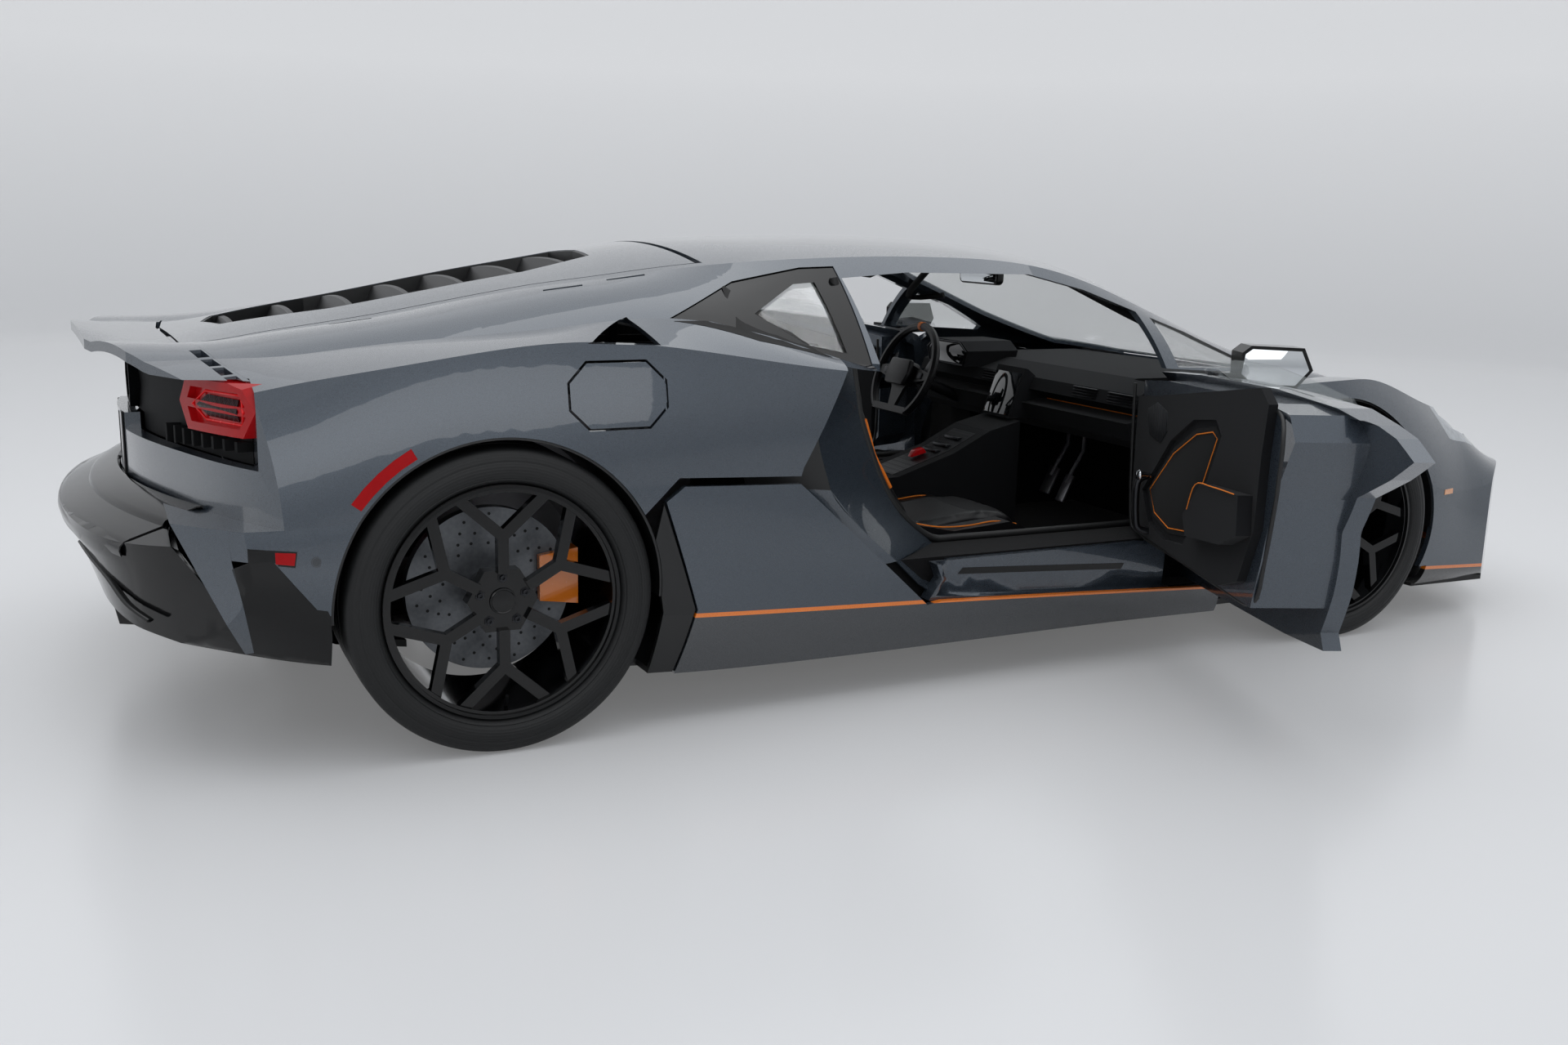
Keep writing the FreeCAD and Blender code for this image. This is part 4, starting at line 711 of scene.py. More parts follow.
@dataclass
class Wheel(Assembly):
    """Tyre, bolts, cap, valve, drilled disc and rim lip of one wheel.

    Profiles are pairs of distance out and radius. The cap's and bolts' start at the hub's face, the lip's
    and the valve's at the tyre's outer wall and the rim's seat.
    """

    end: str = "rear"
    word: str = "right"
    x: float = -1430.0
    track: float = 1670.0
    radius: float = 364.0
    width: float = 325.0
    rim_radius: float = 279.0
    hub_inset: float = 38.0
    seat_step: float = 18.0
    shoulder: float = 24.0
    crown: float = 2.2
    tread_shares: tuple[float, ...] = (0.12, 0.3)
    groove_shares: tuple[float, ...] = (0.46, 0.8)
    groove_half: float = 6.0
    groove_depth: float = 6.0
    groove_lip: float = 0.3
    bead_wall: Line = ((27, -9), (26, -2), (18, 3), (8, 8), (3.5, 13), (5, 15), (3.5, 17), (0.6, 27),
                       (0, 38))
    shoulder_wall: Line = ((2, -34), (3.4, -32), (3, -28), (8, -15), (15, -6.5), (24, -2.2))
    bolts: int = 5
    bolt_circle: float = 112.0
    bolt_profile: Line = ((0.2, 0), (0.2, 12.5), (2.2, 11.5), (2.2, 8.2), (9, 7.4), (9, 4.6), (3.5, 4.2),
                          (3.5, 0))
    cap_profile: Line = ((0.2, 0), (0.2, 32), (5, 31), (6.5, 28), (5, 26.5), (6.2, 14), (6.8, 0))
    valve_path: Line = ((-52, 1), (-44, 14), (-36, 30))
    valve_ahead: float = 6.0
    valve_radius: float = 4.2
    disc_inset: float = 2.0
    hole_profile: Line = ((-2, 0), (-2, 4), (0.25, 4), (0.25, 0))
    hole_columns: int = 18
    hole_rows: int = 4
    hole_ring: float = 112.0
    hole_step: float = 21.0
    hole_stagger: float = 8.0
    hole_turn_deg: float = 7.0
    lip_profile: Line = ((-16.2, 9), (-17, 17.5), (-11, 17.5), (-10, 9))

    def __post_init__(self) -> None:
        """Work out what several pieces share."""
        self.side = 1 if self.word == "left" else -1
        self.outer = self.track / 2 + self.width / 2
        self.seat = self.rim_radius - self.seat_step
        self.centre = (self.x, self.radius)

    def turned(self, profile: Line, start: float, radius: float = 0.0) -> list[tuple[float, float]]:
        """Measure a profile from a distance out and a radius, on this wheel's side."""
        return [(self.side * (start + out), radius + reach) for out, reach in profile]

    def around(self, reach: float, degrees: float) -> tuple[float, float]:
        """X and Z of a place at a distance from the axle."""
        turn = math.radians(degrees)
        return self.x + reach * math.sin(turn), self.radius + reach * math.cos(turn)

    def build(self) -> None:
        """Make the wheel's pieces."""
        name = f"{self.end}_{self.word}"
        self.place("tyre_" + name, self.tyre(), self.rubber(), crease=28,
                   stands_for=(f"{self.end}_tyre_{self.word}",))
        hub_face = self.outer - self.hub_inset
        places = [self.around(self.bolt_circle / 2, 360 / self.bolts * k) for k in range(self.bolts)]
        bolts = [lathe(self.turned(self.bolt_profile, hub_face), place, steps=6) for place in places]
        self.place("wheel_bolts_" + name, joined(bolts), BLACK_STEEL, crease=25)
        cap = lathe(self.turned(self.cap_profile, hub_face), self.centre, steps=48)
        self.place("hub_cap_" + name, cap, GLOSS_BLACK, crease=50)
        valve = [(self.x + self.valve_ahead, self.side * (self.outer + out), self.radius - self.seat + up)
                 for out, up in self.valve_path]
        self.place("valve_" + name, tube(valve, self.valve_radius, sides=10), SATIN_BLACK)
        # The drillings are not cut: dark stubs paint the shade inside them.
        self.place("disc_hole_shade_" + name, self.holes(), SHADOW)
        lip = lathe(self.turned(self.lip_profile, self.outer, self.seat), self.centre, steps=96)
        self.place("rim_lip_" + name, lip, GLOSS_BLACK, crease=60)

    def holes(self) -> bmesh.types.BMesh:
        """Painted shade of the disc's drillings: dark stubs on the disc's face, in leaning rows."""
        face = self.track / 2 - self.disc_inset
        spots = []
        for k in range(self.hole_columns):
            for row in range(self.hole_rows):
                reach = self.hole_ring + row * self.hole_step + (k % 2) * self.hole_stagger
                at = self.around(reach, 360 / self.hole_columns * k + row * self.hole_turn_deg)
                spots.append(lathe(self.turned(self.hole_profile, face), at, steps=8))
        return joined(spots)

    def rubber(self) -> Finish:
        """Rubber with this tyre's moulded blocks."""
        middle = (self.x * MM, self.side * self.track / 2 * MM, self.radius * MM)
        name = f"{RUBBER.name}_{self.end}_{self.word}"
        return replace(RUBBER, name=name, treads=Treads(middle, self.radius * MM))

    def tyre(self) -> bmesh.types.BMesh:
        """Turn the tyre: beads, rounded walls with ribs, and a tread with four grooves.

        Returns:
            The tyre.
        """
        half = self.width / 2
        run = half - self.shoulder
        profile = [(out, self.rim_radius + up) for out, up in self.bead_wall]
        profile += [(out, self.radius + up) for out, up in self.shoulder_wall]
        profile += [(self.shoulder + run * t, self.radius - self.crown * (1 - t) ** 2)
                    for t in self.tread_shares]
        for t in self.groove_shares:
            middle = self.shoulder + run * t
            profile += [(middle + share * self.groove_half, self.radius - depth)
                        for share, depth in ((-1, self.groove_lip), (-2 / 3, self.groove_depth),
                                             (2 / 3, self.groove_depth), (1, self.groove_lip))]
        inner = self.track / 2 - half
        near = self.turned(profile, inner)
        far = [(self.side * (self.outer - out), reach) for out, reach in reversed(profile)]
        return lathe(near + far, self.centre, steps=144)


@dataclass
class Tail(Assembly):
    """Lower tail that narrows downwards, with its shelf, blades, plate, lamp inners and sensors."""

    shelf: float = 570.0
    lip_fall: float = 66.0
    wall_x: float = -2200.0
    wall_bow: float = 0.000336
    lip_x: float = -2353.0
    lip_bow: float = 0.00027
    taper: float = 0.42
    taper_top: float = 500.0
    taper_half: float = 720.0
    taper_front: float = -1990.0
    taper_run: float = 200.0
    fin_top: float = 300.0
    fin_half: float = 620.0
    fin_rise: float = 0.6
    slope_foot: float = 440.0
    cut_levels: tuple[float, ...] = (500.0, 440.0, 380.0, 330.0, 280.0)
    cut_stations: tuple[float, ...] = (-600.0, -450.0, -300.0, -150.0, 0.0, 150.0, 300.0, 450.0, 600.0)
    skin_half: int = 690
    skin_step: int = 30
    skin_profile: Line = ((0.02, 4), (0.06, 13), (0.12, 16), (0.44, 14), (0.49, 12), (0.51, 8), (0.53, 3),
                          (0.70, 3), (0.90, 3), (0.97, 1), (1.02, -6), (1.03, -16), (1.01, -30))
    blade_path: Line = ((330, 440, 8), (450, 428, 12), (600, 405, 14), (720, 372, 12), (800, 350, 4))
    blade_seat: float = 6.0
    blade_radius: float = 9.0
    flank: float = 1200.0
    slot: Line = ((-1985, 505), (-1890, 488), (-1885, 523), (-1985, 535))
    reflector: Line = ((-1930, 499), (-1892, 493), (-1888, 520), (-1930, 524))
    plate: tuple[float, float] = (305.0, 150.0)
    plate_foot: float = 578.0
    plate_back: float = -2180.0
    behind: float = -2400.0
    guide_ring: Line = ((672, 812), (700, 843), (850, 846), (880, 813), (850, 781), (700, 778))
    panel_rows: Line = ((788, 714, 844), (813, 696, 862), (837, 714, 844))
    sensor_at: Place = (-1845.7, 1100.0, 498.0)
    sensor_rings: Line = ((10.5, 12, 0.3), (0.0, 9.5, 0.8))

    def ledge(self, across: float, share: float) -> float:
        """X of the shelf at a distance across, from 0 at its wall to 1 at its lip."""
        wall, lip = self.wall_x + self.wall_bow * across ** 2, self.lip_x + self.lip_bow * across ** 2
        return wall + share * (lip - wall)

    def pull(self, y: float, z: float) -> float:
        """How far forward the tail is drawn at a height, less towards its corners."""
        return max(0.0, self.taper_top - z) * self.taper * max(0.0, 1 - (y / self.taper_half) ** 2)

    def drawn_in(self, place: Vector) -> Vector:
        """Move a place of the lower tail: forward towards the ground, and down towards the shelf's lip.

        Args:
            place: A place on the plain solid, in millimetres.

        Returns:
            Where it lies on the real car.
        """
        x, y, z = place
        if x > self.taper_front:
            return place
        reach = min(1.0, (self.taper_front - x) / self.taper_run)
        if z < self.fin_top and abs(y) < self.fin_half:
            z += (self.fin_top - z) * self.fin_rise * reach
        x += self.pull(y, z) * reach
        if z > self.slope_foot:
            out = (self.ledge(y, 0) - place.x) / (self.ledge(y, 0) - self.ledge(y, 1))
            rise = (z - self.slope_foot) / (self.shelf - self.slope_foot)
            z -= self.lip_fall * min(1.0, max(0.0, out)) * min(1.0, rise)
        return Vector((x, y, z))

    def build(self) -> None:
        """Make the tail's pieces."""
        self.lay_shelf()
        self.hang_blades()
        lower = copied("diffuser")
        cut_across(lower, 2, self.cut_levels)
        cut_across(lower, 1, self.cut_stations)
        for vert in lower.verts:
            vert.co = self.drawn_in(vert.co)
        self.place("diffuser_drawn_in", lower, GLOSS_BLACK, crease=20, stands_for=("diffuser",))
        self.fit_plate()
        self.fit_lamps()
        self.fit_sensors()

    def lay_shelf(self) -> None:
        """Cover the shelf with its skin and the raised step on it."""
        rows = []
        for share, lift in self.skin_profile:
            rows.append([(self.ledge(y, share), y, self.shelf - self.lip_fall * share + lift)
                         for y in range(-self.skin_half, self.skin_half + 1, self.skin_step)])
        self.place("shelf_skin", loft(rows), GLOSS_BLACK, crease=40)

    def hang_blades(self) -> None:
        """Set the blades below the lip, and a slot with its reflector in each flank."""
        skin = in_mm("rear_bumper")
        blades, lenses = [], []
        for side in (1, -1):
            blade = []
            for y, z, out in self.blade_path:
                face = self.lip_x + self.lip_bow * y ** 2 + self.pull(y, z)
                blade.append((face + self.blade_seat - out, side * y, z))
            blades.append(tube(curve_through(blade), self.blade_radius, flat=0.5))
            inwards = (0, -side, 0)
            slot, lens = beside(self.slot, side, self.flank), beside(self.reflector, side, self.flank)
            blades.append(patch(skin, slot, inwards, lift=1.2, thick=2.5))
            lenses.append(patch(skin, lens, inwards, lift=2.4, thick=2.5))
        self.place("diffuser_blades", joined(blades), GLOSS_BLACK, crease=40)
        # The reflectors' faint glow is painted light; they are no lamps.
        self.place("low_reflectors", joined(lenses), LAMP_RED)

    def fit_plate(self) -> None:
        """Fix the blank plate and its frame to the bumper."""
        width, height = self.plate
        low, high = self.plate_foot, self.plate_foot + height
        skin = drop(in_mm("rear_bumper"), (self.behind - 100, 0, (low + high) / 2), (1, 0, 0))
        face = min(skin.x, self.plate_back)
        plate = block((face - 3, -width / 2, low), (face - 1, width / 2, high))
        self.place("blank_plate", plate, PLATE_WHITE)
        bars = [[(face - 2.5, -width / 2, z), (face - 2.5, width / 2, z)] for z in (low - 1, high + 1)]
        bars += [[(face - 2.5, y, low - 1), (face - 2.5, y, high + 1)] for y in (-width / 2, width / 2)]
        self.place("plate_frame", joined([tube(bar, radius=3) for bar in bars]), SATIN_BLACK)

    def fit_lamps(self) -> None:
        """Lay the light guide and the dark inner panel on each lamp."""
        lamps = in_mm("tail_lamps")
        inners, guides = [], []
        for side in (1, -1):
            ring = [drop(lamps, (self.behind, side * y, z), (1, 0, 0), lift=1.5) for y, z in self.guide_ring]
            guides.append(tube(ring, radius=3.0, closed=True))
            rows = [[drop(lamps, (self.behind, side * y, z), (1, 0, 0), lift=4.5) for y in (near, far)]
                    for z, near, far in self.panel_rows]
            inners.append(loft(rows))
        self.place("lamp_light_guides", joined(guides), LAMP_GLOW)
        self.place("lamp_inner_panels", joined(inners), LAMP_DEEP)

    def fit_sensors(self) -> None:
        """Sink a round sensor into each rear quarter, with the gap round it."""
        spots = []
        for side, word in SIDES:
            x, out, z = self.sensor_at
            at = drop(in_mm("rear_quarter_" + word), (x, side * out, z), (0, -side, 0))
            for low, high, lift in self.sensor_rings:
                front, back = at.y + side * lift, at.y - side * 2
                ring = [(front, low), (front, high), (back, high), (back, low)]
                spots.append(lathe(ring, (at.x, at.z), steps=28))
        self.place("parking_sensors", joined(spots), PAINT_DARK, crease=30)


@dataclass
class Opening(Assembly):
    """Door seals, painted shut faces, intake ducts and tread plates of both doorways.

    Rows of the shut face and the duct run down the doorway's rear edge, with Y positive outwards.
    """

    seal_line: Line = ((-436, 1098), (-426, 1040), (-411, 968), (-385, 879), (-368, 780), (-352, 699),
                       (-285, 540), (-214, 440), (-118, 366), (-20, 358), (201, 356), (500, 356),
                       (640, 358))
    seal_out: float = 703.0
    seal_lean: float = 0.08
    seal_waist: float = 700.0
    seal_radius: float = 12.0
    rail_line: Line = ((-436, 1098), (-300, 1106), (-123, 1108), (100, 1100), (292, 1080), (470, 1030),
                       (599, 975), (690, 905))
    rail_inside: float = 300.0
    shut_inner: Line = ((-398, 705, 900), (-380, 712, 800), (-358, 712, 699), (-292, 712, 545),
                        (-224, 712, 442), (-126, 712, 362))
    shut_outer: Line = ((-520, 838, 880), (-548, 842, 790), (-560, 848, 690), (-525, 860, 555),
                        (-440, 872, 452), (-330, 884, 352))
    shut_bulge: tuple[float, float] = (6.0, 8.0)
    shut_foot: tuple[Line, ...] = (((-126, 712, 362), (-330, 884, 352)), ((-95, 716, 325), (-262, 893, 285)),
                                   ((-60, 760, 290), (-215, 897, 256)))
    duct_middle: Line = ((-585, 846, 870), (-628, 842, 780), (-650, 830, 690), (-610, 835, 560),
                         (-520, 850, 445), (-410, 880, 340))
    duct_back: Line = ((-640, 870, 870), (-740, 850, 780), (-770, 800, 690), (-740, 800, 560),
                       (-640, 840, 430), (-500, 880, 322))
    duct_rows: int = 4
    jamb_top: float = 345.0
    jamb_front: float = 100.0
    flank: float = 1200.0
    tread_plate: Line = ((-140, 303), (430, 268), (440, 285), (-125, 320))
    marker: Line = ((1690, 421), (1742, 421), (1746, 437), (1694, 437))
    # Corners of the dark plate that paints the shade of the recess under the sail.
    recess_shade: Line = ((-950, 812, 1300), (-740, 806, 1300), (-540, 876, 1300), (-743, 868, 1300))
    striker: Line = ((-330, 706, 594), (-330, 690, 594))

    def jambs_cut_back(self) -> None:
        """Show the jambs without their rear uprights, whose place the shut faces take."""
        shape = copied("door_jambs")
        cut_across(shape, 2, (self.jamb_top,))
        upright = [f for f in shape.faces
                   if f.calc_center_median().x < self.jamb_front and f.calc_center_median().z > self.jamb_top]
        bmesh.ops.delete(shape, geom=upright, context="FACES")
        bmesh.ops.holes_fill(shape, edges=[e for e in shape.edges if e.is_boundary])
        self.place("door_jambs_cut_back", shape, PAINT, crease=25, stands_for=("door_jambs",))

    def build(self) -> None:
        """Make both sides' pieces."""
        self.jambs_cut_back()
        for side, word in SIDES:
            self.line_opening(side, word)
            self.close_rear(side, word)
            self.add_trim(side, word)

    def line_opening(self, side: int, word: str) -> None:
        """Run the seal and the roof rail's trim round one opening.

        Args:
            side: 1 on the car's left, -1 on its right.
            word: The side's name.
        """
        seal = [(x, side * (self.seal_out - max(0, z - self.seal_waist) * self.seal_lean), z)
                for x, z in self.seal_line]
        strip = tube(curve_through(seal), self.seal_radius, sides=10)
        self.place("opening_seal_" + word, strip, SEAL, crease=60)
        rail = in_mm("roof_and_pillars")
        inside = beside(self.rail_line, side, self.rail_inside)
        upper = [drop(rail, place, (0, side, 0), lift=4) for place in inside]
        trim = tube(curve_through(upper), radius=13, sides=10, flat=0.8)
        self.place("roof_rail_trim_" + word, trim, SUEDE_DARK, crease=60)

    def close_rear(self, side: int, word: str) -> None:
        """Lay the painted shut face behind one door, with the duct, its lip and the foot.

        Args:
            side: 1 on the car's left, -1 on its right.
            word: The side's name.
        """
        ahead, out = self.shut_bulge
        middle = [tuple(0.5 * (a + b) for a, b in zip(near, far))
                  for near, far in zip(self.shut_inner, self.shut_outer)]
        middle = [(x + ahead, y + out, z) for x, y, z in middle]
        face = [curve_through(both(row, side), steps=4) for row in (self.shut_inner, middle, self.shut_outer)]
        self.place("shut_face_" + word, loft(face), PAINT, crease=50)
        rows = (self.shut_outer, self.duct_middle, self.duct_back)
        duct = [curve_through(both(row[:self.duct_rows], side), steps=4) for row in rows]
        self.place("intake_duct_" + word, loft(duct), SATIN_BLACK, crease=50)
        low = [curve_through(both(row[self.duct_rows - 1:], side), steps=4) for row in rows]
        self.place("intake_lip_" + word, loft(low), PAINT, crease=50)
        self.place("shut_foot_" + word, loft([both(row, side) for row in self.shut_foot]), PAINT, crease=50)

    def add_trim(self, side: int, word: str) -> None:
        """Fix the tread plate, side marker, painted shade of the sail's recess and striker of one side.

        Args:
            side: 1 on the car's left, -1 on its right.
            word: The side's name.
        """
        inwards = (0, -side, 0)
        corners = beside(self.tread_plate, side, self.flank)
        tread = patch(in_mm("door_jambs"), corners, inwards, lift=1.2, thick=2.0, steps=(24, 2))
        self.place("tread_plate_" + word, tread, GLOSS_BLACK)
        corners = beside(self.marker, side, self.flank)
        marker = patch(in_mm("front_bumper"), corners, inwards, lift=1.5, thick=3.0)
        self.place("side_marker_" + word, marker, AMBER)
        # Painted shade: a near black plate laid on the quarter under the sail, where the recess falls into
        # shadow.
        corners = both(self.recess_shade, side)
        recess_shade = patch(in_mm("rear_quarter_" + word), corners, (0, 0, -1), lift=1.0, thick=1.5, steps=(10, 6))
        self.place("sail_recess_shade_" + word, recess_shade, SHADOW)
        self.place("striker_" + word, tube(both(self.striker, side), radius=5, sides=10), CHROME)


@dataclass
class Door(Assembly):
    """Trim of one door, drawn with the door shut and then swung open with it.

    Outlines are pairs of X and Z. Heights off the card are measured from its face, positive outwards.
    """

    side: int = -1
    hinge: tuple[float, float] = (690.0, 880.0)
    open_deg: float = 68.0
    card_face: float = 692.7
    pull_path: Line = ((534, -6, 556), (534, -34, 540), (530, -40, 500), (525, -38, 440), (522, -30, 405),
                       (522, 4, 396))
    knob_profile: Line = ((-44, 0), (-42, 11), (-34, 16), (-26, 11), (-2, 8), (2, 0))
    knob_at: tuple[float, float] = (534.0, 556.0)
    lamp_outline: Line = ((-90, 592), (-75, 604), (-52, 602), (-42, 586), (-46, 560), (-84, 558))
    speaker_outline: Line = ((600, 740), (520, 768), (430, 752), (420, 700), (470, 660), (570, 670))
    inset_outline: Line = ((225, 735), (80, 762), (38, 740), (170, 520), (240, 440), (380, 420), (515, 440),
                           (580, 510), (384, 660))
    inset_depth: float = 13.0
    seam: Line = ((210, 722), (95, 745), (60, 733), (180, 532), (247, 455), (376, 436), (502, 455),
                  (556, 512), (376, 645))
    arm_seam: Line = ((-200, -40, 640), (-60, -42, 632), (60, -40, 616), (120, -36, 540))
    seal_path: Line = ((-147, 734, 851), (-300, 710, 838), (-362, 692, 785), (-318, 708, 690),
                       (-290, 718, 640), (-244, 724, 489), (-196, 724, 372), (0, 720, 362), (300, 714, 362),
                       (640, 707, 362), (718, 698, 420), (722, 687, 800))
    mirror_outline: Line = ((0, -20), (35, -50), (160, -52), (198, -8), (172, 46), (28, 51), (8, 36))
    mirror_at: tuple[float, float] = (940.0, 868.0)
    mirror_face: tuple[float, float] = (557.5, 562.0)

    def __post_init__(self) -> None:
        """Work out how the door stands open."""
        pin = Matrix.Translation((self.hinge[0], self.side * self.hinge[1], 0))
        self.turn = pin @ Matrix.Rotation(math.radians(-self.side * self.open_deg), 4, "Z") @ pin.inverted()

    def off_card(self, points: Line) -> list[Place]:
        """Points whose Y is measured outwards from the card's face."""
        return [(x, self.side * (self.card_face + y), z) for x, y, z in points]

    def plate(self, outline: Line, near: float, far: float, round_mm: float) -> bmesh.types.BMesh:
        """Cut a plate that stands on the card, between two heights off its face."""
        low, high = (self.side * (self.card_face + out) for out in (near, far))
        return prism(outline, 1, low, high, round_mm)

    def build(self) -> None:
        """Make the door's pieces."""
        word = "left" if self.side == 1 else "right"
        pull = tube(curve_through(self.off_card(self.pull_path)), radius=9, sides=12)
        self.place("pull_handle_" + word, pull, BLACK_STEEL, crease=60)
        knob = [(self.side * (self.card_face + out), radius) for out, radius in self.knob_profile]
        self.place("pull_handle_end_" + word, lathe(knob, self.knob_at, steps=24), CHROME, crease=50)
        lamp = self.plate(self.lamp_outline, near=-3, far=6, round_mm=2)
        self.place("courtesy_lamp_" + word, lamp, LAMP_GLOW)
        speaker = self.plate(self.speaker_outline, near=-2.5, far=5, round_mm=1.5)
        self.place("speaker_" + word, speaker, SPEAKER)
        depth = self.inset_depth
        inset = self.plate(self.inset_outline, near=depth - 5, far=depth + 3, round_mm=4)
        self.place("card_inset_" + word, inset, SUEDE_DARK, crease=40)
        seam = self.off_card([(x, depth - 5.6, z) for x, z in self.seam])
        self.place("card_stitching_" + word, tube(seam, radius=1.6, sides=6, closed=True), ORANGE_THREAD)
        arm = tube(curve_through(self.off_card(self.arm_seam)), radius=1.5, sides=6)
        self.place("arm_rest_stitching_" + word, arm, ORANGE_THREAD)
        seal = tube(curve_through(both(self.seal_path, self.side), steps=4), radius=5)
        self.place("door_seal_" + word, seal, SEAL, crease=60)
        out, up = self.mirror_at
        glass = [(self.side * (out + y), up + z) for y, z in self.mirror_outline]
        self.place("mirror_glass_" + word, prism(glass, 0, *self.mirror_face, round_mm=1.0), MIRROR)


@dataclass
class Pad:
    """A stuffed leather pad swelled by a short cloth simulation."""

    name: str = "pad"
    voxel: float = 0.006
    pressure: float = 4.0
    frames: int = 20
    cap: float = 0.012
    smoothings: int = 3

    def build(self, shape: bmesh.types.BMesh) -> bpy.types.Object:
        """Args:
            shape: The pad's plain form, freed here.

        Returns:
            The finished pad at the scene's middle, in metres.
        """
        bmesh.ops.scale(shape, vec=(MM,) * 3, verts=shape.verts)
        mesh = bpy.data.meshes.new(self.name)
        shape.to_mesh(mesh)
        shape.free()
        pad = bpy.data.objects.new(self.name, mesh)
        bpy.context.scene.collection.objects.link(pad)
        remesh = pad.modifiers.new("voxels", "REMESH")
        remesh.mode = "VOXEL"
        remesh.voxel_size = self.voxel
        self.apply(pad)
        self.swell(pad)
        smooth = pad.modifiers.new("smooth", "SMOOTH")
        smooth.iterations = self.smoothings
        self.apply(pad)
        pad.data.shade_smooth()
        return pad

    def swell(self, pad: bpy.types.Object) -> None:
        """Blow the pad up as cloth, and hold each point within the cap of where it was."""
        start = [v.co.copy() for v in pad.data.vertices]
        cloth = pad.modifiers.new("cloth", "CLOTH")
        cloth.settings.use_pressure = True
        cloth.settings.uniform_pressure_force = self.pressure
        cloth.settings.effector_weights.gravity = 0.0
        cloth.point_cache.frame_end = self.frames
        for step in range(1, self.frames + 1):
            bpy.context.scene.frame_set(step)
        self.apply(pad)
        for vert, old in zip(pad.data.vertices, start):
            moved = vert.co - old
            if moved.length > self.cap:
                vert.co = old + moved.normalized() * self.cap
        bpy.context.scene.frame_set(1)

    @staticmethod
    def apply(pad: bpy.types.Object) -> None:
        """Keep what the modifiers make and take them off."""
        bpy.context.view_layer.update()
        made = bpy.data.meshes.new_from_object(pad.evaluated_get(bpy.context.evaluated_depsgraph_get()))
        pad.modifiers.clear()
        pad.data = made


